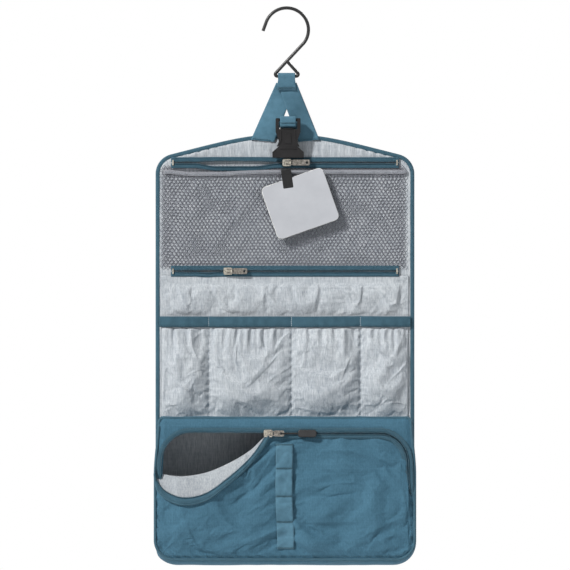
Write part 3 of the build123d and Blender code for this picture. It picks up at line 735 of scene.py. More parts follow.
def netting():
    """Hexagonal cells, each a ring of six faces round a hole; neighbours share corners."""
    left, right, low, high = -133.5, 133.5, 322.5, 430.0
    pitch, row = 4.25, 3.25
    hole = 0.775        # size of the hole as a share of the cell
    half, notch = pitch / 2, row * 0.32
    corners = ((-half, -row / 2 + notch), (0, -row / 2 - notch), (half, -row / 2 + notch),
               (half, row / 2 - notch), (0, row / 2 + notch), (-half, row / 2 - notch))
    bm = bmesh.new()
    shared = {}

    def corner(x, z):
        key = (round(x, 3), round(z, 3))
        if key not in shared:
            shared[key] = bm.verts.new((x, 0, z))
        return shared[key]

    for j in range(int((high - low) / row) + 1):
        cell_z = low + j * row
        for i in range(int((right - left) / pitch) + 1):
            cell_x = left + i * pitch + j % 2 * half
            if cell_x + half > right + 0.01:
                continue
            outer = [corner(cell_x + x, cell_z + z) for x, z in corners]
            inner = [bm.verts.new((cell_x + x * hole, 0, cell_z + z * hole)) for x, z in corners]
            for k in range(6):
                after = (k + 1) % 6
                bm.faces.new((outer[k], outer[after], inner[after], inner[k]))
    for vertex in bm.verts:
        x, _, z = vertex.co
        edge = min(x - left, right - x, (z - low) * 1.2, (high - z) * 1.2)
        crown = float(smooth01(edge / 26.0))
        rising = noise.noise(Vector(((x + 0.7 * z) * 0.022, (z - 0.4 * x) * 0.012, 3.1)))
        falling = noise.noise(Vector(((x - 0.9 * z) * 0.03, (z + 0.4 * x) * 0.014, 8.2)))
        crease = (1 - 2.6 * abs(rising)) + (1 - 2.6 * abs(falling)) * 0.8
        y = -6.7 - 0.3 * crown - max(crease, -0.6) * crown * 1.15
        y += 0.5 * math.sin(x * 0.35 + 2 * rising) * float(smooth01((z - 410) / 18.0)) * crown
        vertex.co = Vector((x, max(min(y, -6.5), -12.4), z)) * MM
    piece = solidify(bmesh_object("mesh_netting", bm, NET), thickness=0.32)
    place(piece, "flap", "mesh_fabric", "mesh_pocket")


mesh_hem()
netting()

# ---------------------------------------------------------------- flat zipped pocket
# Fold tables: start x, start z, end x, end z, width, depth, skew.
FLAT_FOLDS = (
    (-120, 312, -98, 280, 4.5, 1.7, 0.5), (-96, 314, -104, 276, 3.2, 1.2, -0.5),
    (-84, 312, -58, 276, 5.0, 2.0, 0.55), (-52, 314, -44, 284, 3.0, 1.0, 0.4),
    (-40, 313, -10, 275, 5.5, 1.7, 0.5), (-12, 314, -22, 286, 3.0, 1.1, -0.4),
    (8, 313, 24, 276, 4.2, 1.6, 0.5), (36, 314, 30, 280, 3.2, 1.2, -0.5),
    (48, 312, 74, 277, 5.4, 1.9, 0.5), (84, 314, 78, 284, 3.0, 1.0, -0.4),
    (96, 313, 116, 278, 4.8, 1.7, 0.5), (124, 308, 112, 280, 3.6, 1.2, -0.4))


def flat_pocket():
    """The pocket front, held flat along the zip above it."""
    half, share = 134.5, np.linspace(0, 1, 46)

    def flatten_top(y, z):
        return hold_back(y, -6.95, smooth01((z - 299) / 7))

    x, z = fill_grid(np.linspace(-half, half, 260), 267.0, 312.2, share)
    crown = smooth01(np.minimum(half - np.abs(x), z - 268.5) / 16)
    gather = np.sin(x * 0.42 + 2.5 * noise_xz(x, z, 0.03, 0.01, seed=9))
    gather = gather * smooth01((z - 290) / 18) * 0.55
    ridges = np.maximum(ridged(x + 0.8 * z, z, 0.018, 0.02, seed=6), -0.3)
    drape = all_folds(x, z, FLAT_FOLDS)
    relief = 0.4 * gather + 0.8 * ridges + 2.1 * drape * smooth01((307 - z) / 20)
    y = -5.95 - 1.3 * crown - crown * relief - 0.6 * share
    y = flatten_top(np.clip(y, -10.8, -5.9), z)
    faces = grid_faces(*x.shape)
    piece = mesh_object("flat_pocket_front", points(x, y, z), faces, LINING)
    relax(piece, edge_pins(x.shape, foot_rows=3, head_rows=5), frames=10, shrink=-0.022,
          limit=2.4)
    co = read_points(piece.data)
    co[:, 1] = flatten_top(np.clip(co[:, 1], -11.5, -5.9), co[:, 2])
    write_points(piece.data, co)
    solidify(piece, thickness=0.5, offset=-1.0)
    place(piece, FOLD_BLEND, "lining_fabric", "flat_pocket")


flat_pocket()

# ---------------------------------------------------------------- gathered elastic pockets
DIVIDERS = np.array([-134.0, -83.0, 7.0, 82.0, 134.0])      # x of the side and divider seams
BAND_Z = 262.0
POCKET_FOLDS = (
    (-119, 252, -114, 214, 3.4, 1.5, 0.5), (-106, 250, -91, 206, 4.0, 1.7, 0.5),
    (-128, 236, -100, 186, 5.5, 1.7, -0.5), (-118, 196, -92, 170, 5.0, 1.4, 0.4),
    (4, 250, -9, 222, 3.6, 2.0, 0.5), (-7, 226, -36, 196, 5.4, 1.8, 0.45),
    (-49, 250, -46, 208, 3.4, 1.6, 0.5), (-30, 250, -18, 222, 3.4, 1.3, -0.4),
    (-76, 248, -60, 206, 4.6, 1.7, 0.5), (-72, 214, -40, 180, 6.0, 1.5, 0.4),
    (-20, 200, 2, 172, 5.0, 1.6, 0.5), (-62, 186, -30, 168, 5.0, 1.2, -0.4),
    (16, 250, 30, 226, 3.4, 1.5, 0.5), (24, 246, 14, 206, 4.6, 1.7, -0.5),
    (58, 250, 70, 214, 4.2, 2.0, 0.5), (38, 236, 62, 230, 5.0, 1.5, 0.4),
    (71, 224, 60, 192, 5.0, 1.6, 0.5), (62, 196, 40, 178, 6.0, 1.2, 0.4),
    (16, 196, 40, 170, 5.4, 1.4, 0.4), (90, 251, 106, 228, 3.8, 2.0, 0.5),
    (103, 232, 124, 206, 5.4, 1.6, 0.45), (128, 248, 112, 224, 3.4, 1.4, -0.4),
    (88, 230, 98, 180, 4.4, 1.7, 0.5), (126, 210, 104, 172, 5.0, 1.7, -0.5))
# Section of the folded band (side, normal).
BAND_SECTION = np.array([
    (5.6, -0.9), (5.9, 0.0), (5.6, 0.9), (2.5, 1.15), (0, 1.0), (-2.5, 1.15), (-5.3, 1.0),
    (-5.7, 0.0), (-5.3, -0.9), (0, -0.9)])


def swell(x):
    """0 at the seams, 1 midway between two of them."""
    cell = np.clip(np.searchsorted(DIVIDERS, x), 1, len(DIVIDERS) - 1)
    left, right = DIVIDERS[cell - 1], DIVIDERS[cell]
    return np.sin(math.pi * np.clip((x - left) / (right - left), 0, 1))


def elastic_pockets():
    """The pocket fronts, one gathered sheet; returns its points by column."""
    column_x, share = np.linspace(DIVIDERS[0], DIVIDERS[-1], 330), np.linspace(0, 1, 110)
    x, z = fill_grid(column_x, 158.0, 257.6, share)
    swelling = swell(column_x)[:, None]
    fullness = swelling ** 0.6
    belly = np.sin(share ** 0.85 * math.pi * 0.93)
    upper = smooth01((share - 0.52) / 0.48)
    up = z - 160
    rising = np.maximum(ridged(x * 0.9 + 0.55 * up, z, 0.017, 0.013, seed=41), -0.4)
    falling = np.maximum(ridged(x - 0.65 * up, z, 0.020, 0.012, seed=43), -0.4)
    creases = all_folds(x, z, POCKET_FOLDS)
    coarse = np.sin(x * 0.42 + 2.6 * noise_xz(x, z * 0.3, 0.03, 0.02, seed=13))
    fine = np.sin(x * 0.9 + 3 * noise_xz(x, z, 0.03, 0.014, seed=33))
    gathers = np.maximum(coarse, -0.35) * 1.5 + 0.7 * fine
    y = -6.4 - fullness * (2.2 + 3.9 * belly)
    y = y - smooth01((share - 0.62) / 0.38) * gathers * (0.45 + 0.55 * fullness)
    y -= 1.15 * creases * (0.3 + 0.7 * fullness) * smooth01(share / 0.1)
    y -= fullness * (1 - upper * 0.7) * (1.7 * rising + 1.5 * falling) * smooth01(share / 0.15)
    y -= 0.35 * noise_xz(x, z, 0.09, 0.05, seed=51) * fullness
    pinch = sum(np.exp(-((x - divider) / 1.6) ** 2) for divider in DIVIDERS[1:-1])
    y += 0.5 * np.sin(z * 0.75) * pinch
    # The head stays behind the band that covers it.
    y = hold_back(np.minimum(y, -6.0), -6.3 - 2.4 * swelling ** 0.7, smooth01((z - 252.5) / 4.0))
    faces = grid_faces(*x.shape)
    piece = mesh_object("elastic_pockets", points(x, y, z), faces, LINING)
    pins = edge_pins(x.shape, foot_rows=2, head_rows=2)
    for divider in DIVIDERS[1:-1]:
        pins[np.abs(column_x - divider).argmin()] = True
    relax(piece, pins, frames=12, shrink=-0.024, limit=2.6)
    co = read_points(piece.data)
    co[:, 1] = np.clip(co[:, 1], -22.2, -6.0)
    write_points(piece.data, co)
    solidify(piece, thickness=0.5, offset=-1.0)
    place(piece, "body", "lining_fabric", "elastic_pocket")
    return co.reshape(*x.shape, 3)


def band_y(x):
    swelling = swell(x)
    ripple = np.sin(x * 0.5 + 2 * noise_3d(x, 0, 0, scale=0.03, seed=9)) * swelling
    return -7.4 - 3.6 * swelling ** 0.7 - 0.35 * noise_3d(x, 0, 0, 0.06, seed=3) - 0.25 * ripple


def elastic_band():
    """Folded band over the pocket tops, and its two seams."""
    x = np.linspace(-136.5, 136.5, 300)
    path = points(x, band_y(x), BAND_Z + 0.6 * noise_3d(x, 0, 0, scale=0.02, seed=5))
    band = sweep("elastic_band_cover", path, BAND_SECTION, BINDING, normal=FORWARD)
    place(band, "body", "binding", "elastic_band", "elastic_tape")
    for number, rise in enumerate((-4.3, 4.3), 1):
        stitch(f"band_seam_{number}", points(x, band_y(x) - 1.05, BAND_Z + rise), "body",
               size=(2.0, 0.5, 0.4), pitch=2.9)


def divider_seams(grid):
    """Light stitches at each divider, over the band and down the pockets."""
    for number, x in enumerate(DIVIDERS[1:-1], 1):
        z = np.linspace(256.8, 267.2, 12)
        stitch(f"divider_seam_{number}", points(x + 0.3 * np.sin(z), band_y(x) - 1.1, z), "body",
               size=(1.7, 0.7, 0.45), pitch=2.2, material=LIGHT_THREAD)
        z = np.linspace(160, 255, 60)
        column_x = np.linspace(DIVIDERS[0], DIVIDERS[-1], len(grid))
        column = grid[np.abs(column_x - x).argmin()]
        y = np.interp(z, column[:, 2], column[:, 1]) - 0.45
        stitch(f"pocket_seam_{number}", points(x, y, z), "body", size=(1.9, 0.5, 0.35),
               pitch=2.9, material=LIGHT_THREAD)


pocket_points = elastic_pockets()
elastic_band()
divider_seams(pocket_points)

# ---------------------------------------------------------------- pouch front
# The open mouth (x, z): the edge of the front, and the lip of lining turned out above it.
MOUTH_EDGE = ((-139.5, 100), (-137.5, 86), (-128.5, 74.5), (-109, 67.5), (-85, 72), (-62.5, 88),
              (-40, 108), (-24, 128), (MOUTH_X, 141.5))
MOUTH_LIP = ((-139.0, 110), (-136.5, 102), (-128, 98.5), (-108, 97.0), (-84, 101), (-60, 111),
             (-38, 124), (-24, 137), (MOUTH_X, 142.5))
EDGE, LIP = [catmull([(x, 0, z) for x, z in line], 14) for line in (MOUTH_EDGE, MOUTH_LIP)]
POUCH_FOLDS = (
    (-6, 128, -72, 82, 6.0, 1.9, 0.45), (-12, 118, -46, 66, 7.5, 1.5, 0.5),
    (-3, 100, -26, 70, 5.0, 1.2, 0.4), (-112, 66, -96, 30, 9.0, 2.0, 0.45),
    (-80, 66, -34, 40, 8.5, 1.9, 0.5), (-118, 40, -58, 50, 9.0, 1.7, -0.4),
    (-100, 22, -30, 30, 7.5, 1.7, 0.5), (-6, 40, -52, 16, 7.0, 2.2, 0.5),
    (-4, 24, -24, 12, 4.0, 1.4, 0.3), (8, 50, 58, 20, 8.5, 2.3, -0.5),
    (8, 66, 66, 52, 9.5, 1.7, 0.5), (6, 30, 30, 12, 5.0, 1.5, 0.4),
    (34, 84, 98, 76, 10.0, 1.5, -0.45), (84, 34, 126, 62, 9.0, 1.7, 0.45),
    (60, 18, 116, 24, 7.0, 1.3, 0.4), (100, 118, 126, 84, 7.0, 1.5, 0.5),
    (36, 122, 90, 112, 8.0, 1.0, -0.4), (-134, 70, -126, 30, 5.0, 1.3, 0.3))


def lean_back(z):
    """How far the pouch's top edge curves back."""
    return np.maximum(z - 146, 0) ** 2 * 0.018


def taper(grid):
    """Narrows the pouch towards its top."""
    grid = np.array(grid, float)
    grid[..., 0] *= 1 - 0.030 * smooth01((grid[..., 2] - 98) / 62)
    return grid


def arch_z(x):
    """Centre line of the zip's arch, level outside it."""
    arch = ARCH_TOP - corner_cut(x, ARCH_HALF, ARCH_RADIUS)
    return np.where(np.abs(x) > ARCH_HALF, ARCH_END, arch)


def puff(x, z):
    """How the empty front of the pouch bellies and creases."""
    edge = np.minimum(FRONT_HALF - np.abs(x), z - FRONT_FOOT)
    crown = smooth01(edge / 26)
    y = 3.0 * crown * smooth01((122 - z) / 60)
    y += 1.9 * noise_xz(x, z, 0.011, 0.013, seed=61) * crown
    y += 1.0 * np.maximum(ridged(x + 0.5 * z, z, 0.014, 0.019, seed=62), -0.2) * crown
    y += 0.8 * np.maximum(ridged(x - 0.9 * z, z, 0.016, 0.022, seed=66), -0.2) * crown
    for start_x, start_z, end_x, end_z, width, depth, skew in POUCH_FOLDS:
        # Each fold has a shallower hollow beside it.
        shift = width * 0.9
        fold = fold_line(x, z, (start_x, start_z, end_x, end_z, width * 0.8, depth, skew))
        hollow = fold_line(x, z, (start_x + shift, start_z - width, end_x + shift, end_z - width,
                                  width * 0.8, depth, -skew))
        y += 1.7 * (fold - 0.6 * hollow) * smooth01(edge / 12)
    y -= 1.5 * np.exp(-(x / 8) ** 2) * np.exp(-((z - 34) / 22) ** 2)
    y += 0.22 * noise_xz(x, z, 0.07, 0.07, seed=63) * crown
    ripple = np.sin((x + z) * 0.55 + 2 * noise_xz(x, z, 0.03, 0.03, seed=67))
    return y + 0.45 * np.exp(-(edge / 6.0) ** 2) * ripple


def pouch_front():
    """The front below the zip; returns its points by column."""
    column_x = dense(FRONT_HALF, 240)
    low = FRONT_FOOT + corner_cut(column_x, FRONT_HALF, FRONT_RADIUS)
    mouth = np.interp(column_x, EDGE[:, 0], EDGE[:, 2])
    high = np.where(column_x < MOUTH_X, mouth, arch_z(column_x) - 0.9)
    high = np.maximum(high, low + 2)
    x, z = fill_grid(column_x, low, high, np.linspace(0, 1, 120))
    y = FRONT_Y + lean_back(z) - puff(x, z)
    below = high[:, None] - z
    opened = smooth01((-14 - x) / 24)
    y -= opened * 2.6 * np.exp(-(below / 11) ** 2)
    y += (1 - opened) * 1.2 * np.exp(-(below / 3.5) ** 2)
    y += 1.9 * smooth01(1 - np.minimum(FRONT_HALF - np.abs(x), z - low[:, None] + 0.4) / 7)
    piece = mesh_object("pouch_front", points(x, y, z), grid_faces(*x.shape), SHELL)
    relax(piece, edge_pins(x.shape, foot_rows=2, head_rows=2), frames=14, shrink=-0.018,
          limit=3.0)
    co = read_points(piece.data)
    co[:, 1] = np.maximum(soften(co[:, 1], -64.0, keep=0.35), -66.2)
    co = taper(co)
    write_points(piece.data, co)
    solidify(piece, thickness=0.7, offset=-1.0)
    place(piece, "body", "shell_fabric", "pouch_shell")
    return co.reshape(*x.shape, 3)


FRONT_GRID = pouch_front()


@np.vectorize
def on_front(x, z):
    """y of the pouch front at x, z, taken from the nearest column."""
    column = FRONT_GRID[np.abs(FRONT_GRID[:, 0, 0] - x).argmin()]
    return np.interp(z, column[:, 2], column[:, 1])


def top_strip():
    """Fabric above the zip, up to the pouch's top edge."""
    column_x = dense(FRONT_HALF, 240)
    high = FRONT_TOP - corner_cut(column_x, FRONT_HALF, POUCH_TOP_RADIUS)
    low = np.minimum(arch_z(column_x) + 0.9, high - 1.5)
    x, z = fill_grid(column_x, low, high, np.linspace(0, 1, 26))
    y = FRONT_Y + lean_back(z) + 0.9 * np.exp(-((z - low[:, None]) / 3) ** 2)
    y -= 0.7 * noise_xz(x, z, 0.025, 0.05, seed=71)
    y -= 0.5 * np.maximum(ridged(x, z, 0.03, 0.03, seed=72), 0)
    y += 1.6 * smooth01(1 - (FRONT_HALF - np.abs(x)) / 7)
    y += 2.2 * smooth01(1 - (high[:, None] - z) / 6)
    strip = sheet("pouch_top_strip", taper(points(x, y, z)), SHELL, thickness=0.7, offset=-1.0)
    place(strip, "body", "shell_fabric")


top_strip()


# ---------------------------------------------------------------- pouch gusset and piping
def outline(half, foot, head, foot_radius, head_radius, side_steps=52, arc_steps=12,
            flat_steps=80):
    """Rounded rectangle, anticlockwise from the front, starting at the right foot corner."""
    foot_x, foot_z = half - foot_radius, foot + foot_radius
    head_x, head_z = half - head_radius, head - head_radius
    # Corners: centre, radius, angle where the arc starts.
    corners = (((foot_x, foot_z), foot_radius, -90), ((head_x, head_z), head_radius, 0),
               ((-head_x, head_z), head_radius, 90), ((-foot_x, foot_z), foot_radius, 180))
    parts = []

    def on_arc(centre, radius, degrees):
        angle = np.radians(degrees)
        return np.array(centre) + radius * np.stack((np.cos(angle), np.sin(angle)), -1)

    for index, (centre, radius, start) in enumerate(corners):
        degrees = np.linspace(start, start + 90, arc_steps, endpoint=False)
        parts.append(on_arc(centre, radius, degrees))
        next_centre, next_radius, turn = corners[(index + 1) % 4]
        steps = (side_steps, flat_steps)[index % 2]
        parts.append(np.linspace(on_arc(centre, radius, turn),
                                 on_arc(next_centre, next_radius, turn), steps, endpoint=False))
    x, z = np.vstack(parts).T
    return points(x, 0.0, z)


def gusset(name, inset, back_y, front_y, material, thickness):
    """Wall round the pouch from the panel to the front rim, with soft creases."""
    back = outline(POUCH_HALF - 0.9 - inset, 1.2 + inset, 159.2 - inset, POUCH_RADIUS,
                   POUCH_TOP_RADIUS)
    front = outline(FRONT_HALF - inset, FRONT_FOOT + inset, FRONT_TOP - inset, FRONT_RADIUS,
                    POUCH_TOP_RADIUS)
    depth = np.linspace(0, 1, 34) ** 0.8
    turn = np.maximum(0, (depth - 0.45) / 0.55)
    blend = (1 - np.sqrt(np.maximum(0, 1 - turn ** 2)))[:, None]
    wall = back[:, None] * (1 - blend) + front[:, None] * blend
    x, z = wall[..., 0], wall[..., 2]
    rim_y = front_y + lean_back(front[:, 2:]) + 2.6
    y = back_y + (rim_y - back_y) * depth
    bulge = np.sin(depth * math.pi) ** 0.8
    crease = (perlin(x * 0.02, y * 0.05, z * 0.02 + 4) * 1.5
              + (1 - 2.2 * np.abs(perlin(x * 0.035 + 9, y * 0.03, z * 0.035))) * 1.1)
    # Sides sink in, the top sinks further, and the foot bulges out.
    out = np.where(z < 150, -0.7 - 0.9 * crease, -2.2 - 1.3 * crease) * bulge
    foot = smooth01((20 - z) / 12)
    out = out * (1 - foot) + (1.25 + 0.25 * crease) * bulge * foot
    wall = wall - inward(back, POUCH_CENTRE_Z, closed=True)[:, None] * out[..., None]
    wall[..., 1] = y
    return sheet(name, taper(wall), material, thickness, closed=True)


def front_lining():
    """Inner face of the front, seen through the open mouth, in the lining painted darker as shade.
    """
    grid = FRONT_GRID[:, ::3] * (0.985, 1, 1) + (0, 1.6, 0)
    grid[..., 2] = np.maximum(grid[..., 2], 3.2)
    piece = sheet("pouch_front_lining", grid, SHADED_LINING_INNER, thickness=0.4)
    place(piece, "body", "lining_fabric")


def piping():
    """Cord round the front rim, and a seam beside it that stops short of the mouth."""
    rim = outline(FRONT_HALF + 0.3, FRONT_FOOT - 0.3, 159.0, FRONT_RADIUS, POUCH_TOP_RADIUS,
                  side_steps=80, arc_steps=20, flat_steps=130)
    x, z = rim[:, 0], rim[:, 2]
    y = FRONT_Y + 1.2 + lean_back(z) + 0.35 * noise_3d(x, 0, z, scale=0.05, seed=3)
    y += np.where(z > 150, 1.8, 0)
    path = taper(points(x, y, z + 0.4 * noise_3d(x, 3, z, scale=0.03, seed=8)))
    cord = sweep("pouch_piping_cord", path, ring_section(14, 1.6, 1.6), BINDING, closed=True)
    place(cord, "body", "binding", "pouch_piping")
    seam = path + inward(path, POUCH_CENTRE_Z, closed=True) * 3.9
    seam = np.roll(seam, -(len(seam) // 2), axis=0)
    x, z = seam[:, 0], seam[:, 2]
    seam[:, 1] = on_front(x, z) - 0.15
    seam = seam[(z < 118) & ~((x < -112) & (z > 60))]
    stitch("pouch_seam_1", seam, "body", size=(2.1, 0.5, 0.4), pitch=3.0)


place(gusset("pouch_gusset", inset=0.0, back_y=-5.8, front_y=FRONT_Y, material=SHELL,
             thickness=0.8), "body", "shell_fabric")
# The gusset's lining is the grey lining painted darker as the shade inside the pouch.
place(gusset("pouch_gusset_lining", inset=2.2, back_y=-6.2, front_y=FRONT_Y + 1.0,
             material=SHADED_LINING_INNER, thickness=0.4), "body", "lining_fabric", "pouch_lining")
front_lining()
piping()

# ---------------------------------------------------------------- pouch zip
# Section of the tape (side, normal).
TAPE_SECTION = np.array([(2.5, -0.25), (2.6, 0.0), (2.5, 0.28), (0, 0.42), (-2.5, 0.3),
                         (-2.6, 0.0), (-2.5, -0.25), (0, -0.2)])


def zip_path(out, lift=0.0, from_x=-math.inf):
    """Zip line moved outwards by `out`: up the right end, over the arch, down the left end."""
    radius, arc_x, arc_z = ARCH_RADIUS + out, ARCH_HALF - ARCH_RADIUS, ARCH_TOP - ARCH_RADIUS
    side = ARCH_HALF + out
    line = [(ARCH_HALF + 3.2 + out * 0.35, 66), (ARCH_HALF + 2.2 + out * 0.6, 74),
            (ARCH_HALF + 0.8 + out * 0.9, 83), (side, 93), (side, arc_z)]
    line += [(arc_x + radius * math.cos(a), arc_z + radius * math.sin(a))
             for a in np.linspace(0, math.pi / 2, 16)[1:]]
    line += [(-arc_x + radius * math.cos(a), arc_z + radius * math.sin(a))
             for a in np.linspace(math.pi / 2, math.pi, 16)]
    line += [(-side, 92), (-(ARCH_HALF + 0.8 + out * 0.9), 84),
             (-(ARCH_HALF + 1.6 + out * 0.7), 77)]
    path = taper(resample([(x, 0, z) for x, z in line], step=1.5))
    path = path[path[:, 0] >= from_x]
    x, z = path[:, 0], path[:, 2]
    ends = np.where(x < 0, 4.6 * smooth01((97 - z) / 14), 3.2 * smooth01((90 - z) / 22))
    path[:, 1] = MAIN_ZIP_Y - lift + ends + 0.12 * noise_3d(x, 0, z, scale=0.05, seed=2)
    return path


def main_zip():
    """The upper half runs all round; the lower half starts right of the open mouth."""
    halves = (("upper", 1, -math.inf), ("lower", -1, -15))
    for half, side, from_x in halves:
        name = f"main_zip_tape_{half}"
        path = zip_path(side * 3.3, from_x=from_x)
        tape = sweep(name + "_cloth", path, TAPE_SECTION, TAPE, normal=FORWARD)
        place(tape, "body", "zip_tape", name)
    for half, side, from_x in halves:
        coil(f"main_coil_{half}", zip_path(side * 1.0, lift=0.35, from_x=from_x), "body",
             (1.6, 0.95, 1.15), 1.35, *["main_zip_coil"] * (half == "upper"))
    for number, (out, from_x) in enumerate(((4.9, -math.inf), (-4.9, -13)), 1):
        stitch(f"main_zip_seam_{number}", zip_path(out, lift=0.3, from_x=from_x), "body",
               size=(2.0, 0.5, 0.4), pitch=2.8)


def mouth():
    """The open end: edge turned out, lining showing, tape and coil along the edge."""
    gap = np.linalg.norm(LIP - EDGE, axis=1)
    edge_x, _, edge_z = EDGE.T[:, :, None]
    lip_x, _, lip_z = LIP.T[:, :, None]
    front_y = np.where(edge_x < MOUTH_X, on_front(edge_x, edge_z - 1.5), MAIN_ZIP_Y)
    share = np.arange(16) / 15
    x = edge_x * (1 - share) + lip_x * share
    z = edge_z * (1 - share) + lip_z * share
    y = np.maximum(front_y, -63.5) - 2.6 - 0.9 * np.sin(np.minimum(share * 4.5, 1) * math.pi)
    y = y + 7.5 * share ** 1.4 * np.minimum(1, gap / 16)[:, None]
    y += 0.9 * perlin(x * 0.05, share * 1.6, 2.0) * np.minimum(1, gap / 12)[:, None]
    tuck = np.arange(1, 7) / 15     # rows that turn down behind the lip
    tucked = points(x[:, -1:], y[:, -1:] + 2.0 * tuck + 1.2 * np.sin(tuck * 6),
                    z[:, -1:] - 12 * tuck)
    grid = np.concatenate((points(x, y, z), tucked), axis=1)
    # The lip uses the grey lining painted darker as shade.
    place(sheet("mouth_lip_lining", grid, SHADED_LINING_LIP, thickness=0.5), "body", "lining_fabric")

    width = np.minimum(6.8, np.maximum(gap - 0.6, 0.4))
    step = np.linspace(0, 1, 6)
    outward = (LIP - EDGE) / gap[:, None]
    tape = EDGE[:, None] + outward[:, None] * (0.3 + width[:, None] * step)[..., None]
    tape[..., 1] = [np.interp(step * w, g * share, row) for w, g, row in zip(width, gap, y)]
    tape[..., 1] -= 0.75 + 0.15 * np.sin(step * math.pi)
    place(sheet("mouth_zip_tape_cloth", tape, TAPE, thickness=0.45), "body", "zip_tape",
          "mouth_zip_tape")
    coil("mouth_coil", (tape[:, -1] + (0, -0.35, 0))[2:-6], "body", (1.6, 0.95, 1.1), 1.35)
    path = resample(points(EDGE[:, 0], y[:, 0] + 0.3, EDGE[:, 2]), step=1.5)
    roll = sweep("mouth_edge_roll", path, ring_section(12, 1.5, 1.7), BINDING, normal=FORWARD)
    place(roll, "body", "binding")


main_zip()
mouth()


# ---------------------------------------------------------------- loop strap on the pouch front
def loop_strap():
    """Upright webbing, stitched down at five stations and bowed out between them."""
    stations = np.array([132.0, 105.0, 76.0, 48.0, 18.5])
    centre_x = -0.5
    z = np.linspace(18.5, 132.0, 150)
    bay = np.clip((z[:, None] < stations).sum(1) - 1, 0, 3)
    high, low = stations[bay], stations[bay + 1]
    bow = np.abs(np.sin(np.clip((z - low) / (high - low), 0, 1) * math.pi)) ** 0.75
    bow = bow * np.where((bay == 1) | (bay == 2), 3.3, 2.3)
    across = np.linspace(-1, 1, 14)[:, None]
    x = centre_x + across * 9.0 + 0.6 * np.sin(z * 0.06) - (z - 75) * 0.012
    y = on_front(x, z) * 0.5 + on_front(centre_x, z) * 0.5 - 0.95 - bow - 0.25 * (1 - across ** 2)
    strap = points(x, soften(y, -64.5, keep=0.4), z)
    piece = sheet("loop_webbing", strap, WEBBING, thickness=1.1, offset=-1.0)
    place(piece, "body", "webbing", "loop_strap")
    for number, station in enumerate(np.clip(stations, 20.0, 130.6), 1):
        path = strap[:, np.abs(z - station).argmin()] + (0, -0.05, 0)
        stitch(f"loop_tack_{number}", path, "body", (2.2, 0.55, 0.55), 0.75,
               *["loop_bartacks"] * (number == 1), across=True)


loop_strap()


# ---------------------------------------------------------------- hanger
def hanger_leg(name, outer, inner, head_y, twist, flip, *replaced):
    """A leg between two edges, each given by its foot and head (x, z)."""
    up = np.linspace(0, 1, 60)
    across = np.linspace(0, 1, 16)[:, None]
    (outer_x, outer_z), (inner_x, inner_z) = [
        [foot * (1 - up) + head * up for foot, head in zip(*edge)] for edge in (outer, inner)]
    x = outer_x * (1 - across) + inner_x * across
    z = outer_z * (1 - across) + inner_z * across
    foot_y = -6.75
    turn = np.sin(math.pi * np.minimum(up * 1.1, 1)) ** 1.2
    y = foot_y + (head_y - foot_y) * smooth01(up * 1.15 - 0.05)
    y = y + turn * ((1 - across) * twist - 0.5 * np.sin(math.pi * across) - 1.8)
    y += 0.25 * noise_3d(x, up * 30, z, scale=0.06, seed=5)
    grid = points(x, y, z)
    piece = sheet(name, grid[::-1] if flip else grid, WEBBING, thickness=1.15)
    place(piece, HANGER_BLEND, "webbing", *replaced)


def hanger_sleeve():
    """Webbing folded over at the top, holding both legs."""
    centre_x = 1.7
    angle = np.linspace(0.15, math.pi - 0.15, 14)
    bend = np.stack((-8.4 + 3.15 * np.cos(angle), 529 + 3.15 * np.sin(angle)), 1)
    y, z = np.vstack((
        [(-6.35, 511.5), (-6.25, 519), (-5.6, 525), (-5.15, 529)], bend,
        [(-11.55, 528), (-11.3, 524), (-10.7, 519), (-10.4, 513.5)])).T
    across = np.linspace(-1, 1, 20)[:, None]
    grid = points(centre_x + across * (9.3 + 0.9 * (z < 524)),
                  y + 0.12 * np.sin(across * 9 + z),
                  z + 0.25 * np.sin(across * 4) * (z < 515))
    place(sheet("hanger_sleeve", grid, WEBBING, thickness=0.95), "hanger", "webbing")
    for number, (y, z) in enumerate(((-10.9, 516.2), (-11.1, 523.2)), 1):
        stitch(f"hanger_tack_{number}", across_line(centre_x, 8.6, y, z, 20), "hanger",
               (1.9, 0.5, 0.5), 0.8, *["hanger_bartack"] * (number == 1), across=True)


hanger_leg("hanger_leg_left", ((-37.0, 460.0), (-9.5, 522.0)), ((-11.5, 457.5), (10.5, 516.5)),
           -7.6, 7.4, False, "hanger_webbing", "hanger_tails")
hanger_leg("hanger_leg_right", ((37.5, 460.0), (12.5, 522.0)), ((14.8, 457.5), (-6.5, 516.5)),
           -9.0, 7.0, True)
hanger_sleeve()
for number, ends in enumerate((((-36.0, -7.6, 461.6), (-15.6, -7.6, 459.6)),
                               ((36.5, -7.6, 461.6), (17.8, -7.6, 459.6))), 1):
    stitch(f"hanger_base_seam_{number}", np.linspace(*ends, 18), "flap", size=(2.0, 0.55, 0.5),
           pitch=2.6)

# ---------------------------------------------------------------- buckle relief, tab and strap
BUCKLE_X = 3.3
RIB = ((-12.5, 452.0), (-10.7, 452.0), (-6.9, 459.5), (-6.9, 469.5), (-8.5, 469.5), (-8.5, 460.2))
# Raised shapes on the socket's front: (x from BUCKLE_X, z).
RELIEF = {
    "rib_left": RIB,
    "rib_right": [(-x, z) for x, z in RIB],
    "rib_base": ((-9.9, 449.2), (9.9, 449.2), (8.7, 451.2), (-8.7, 451.2)),
    "boss": ((-3.9, 455.0), (3.9, 455.0), (3.1, 466.6), (-3.1, 466.6)),
    "bar_1": ((-5.7, 470.6), (5.7, 470.6), (5.7, 471.8), (-5.7, 471.8))}
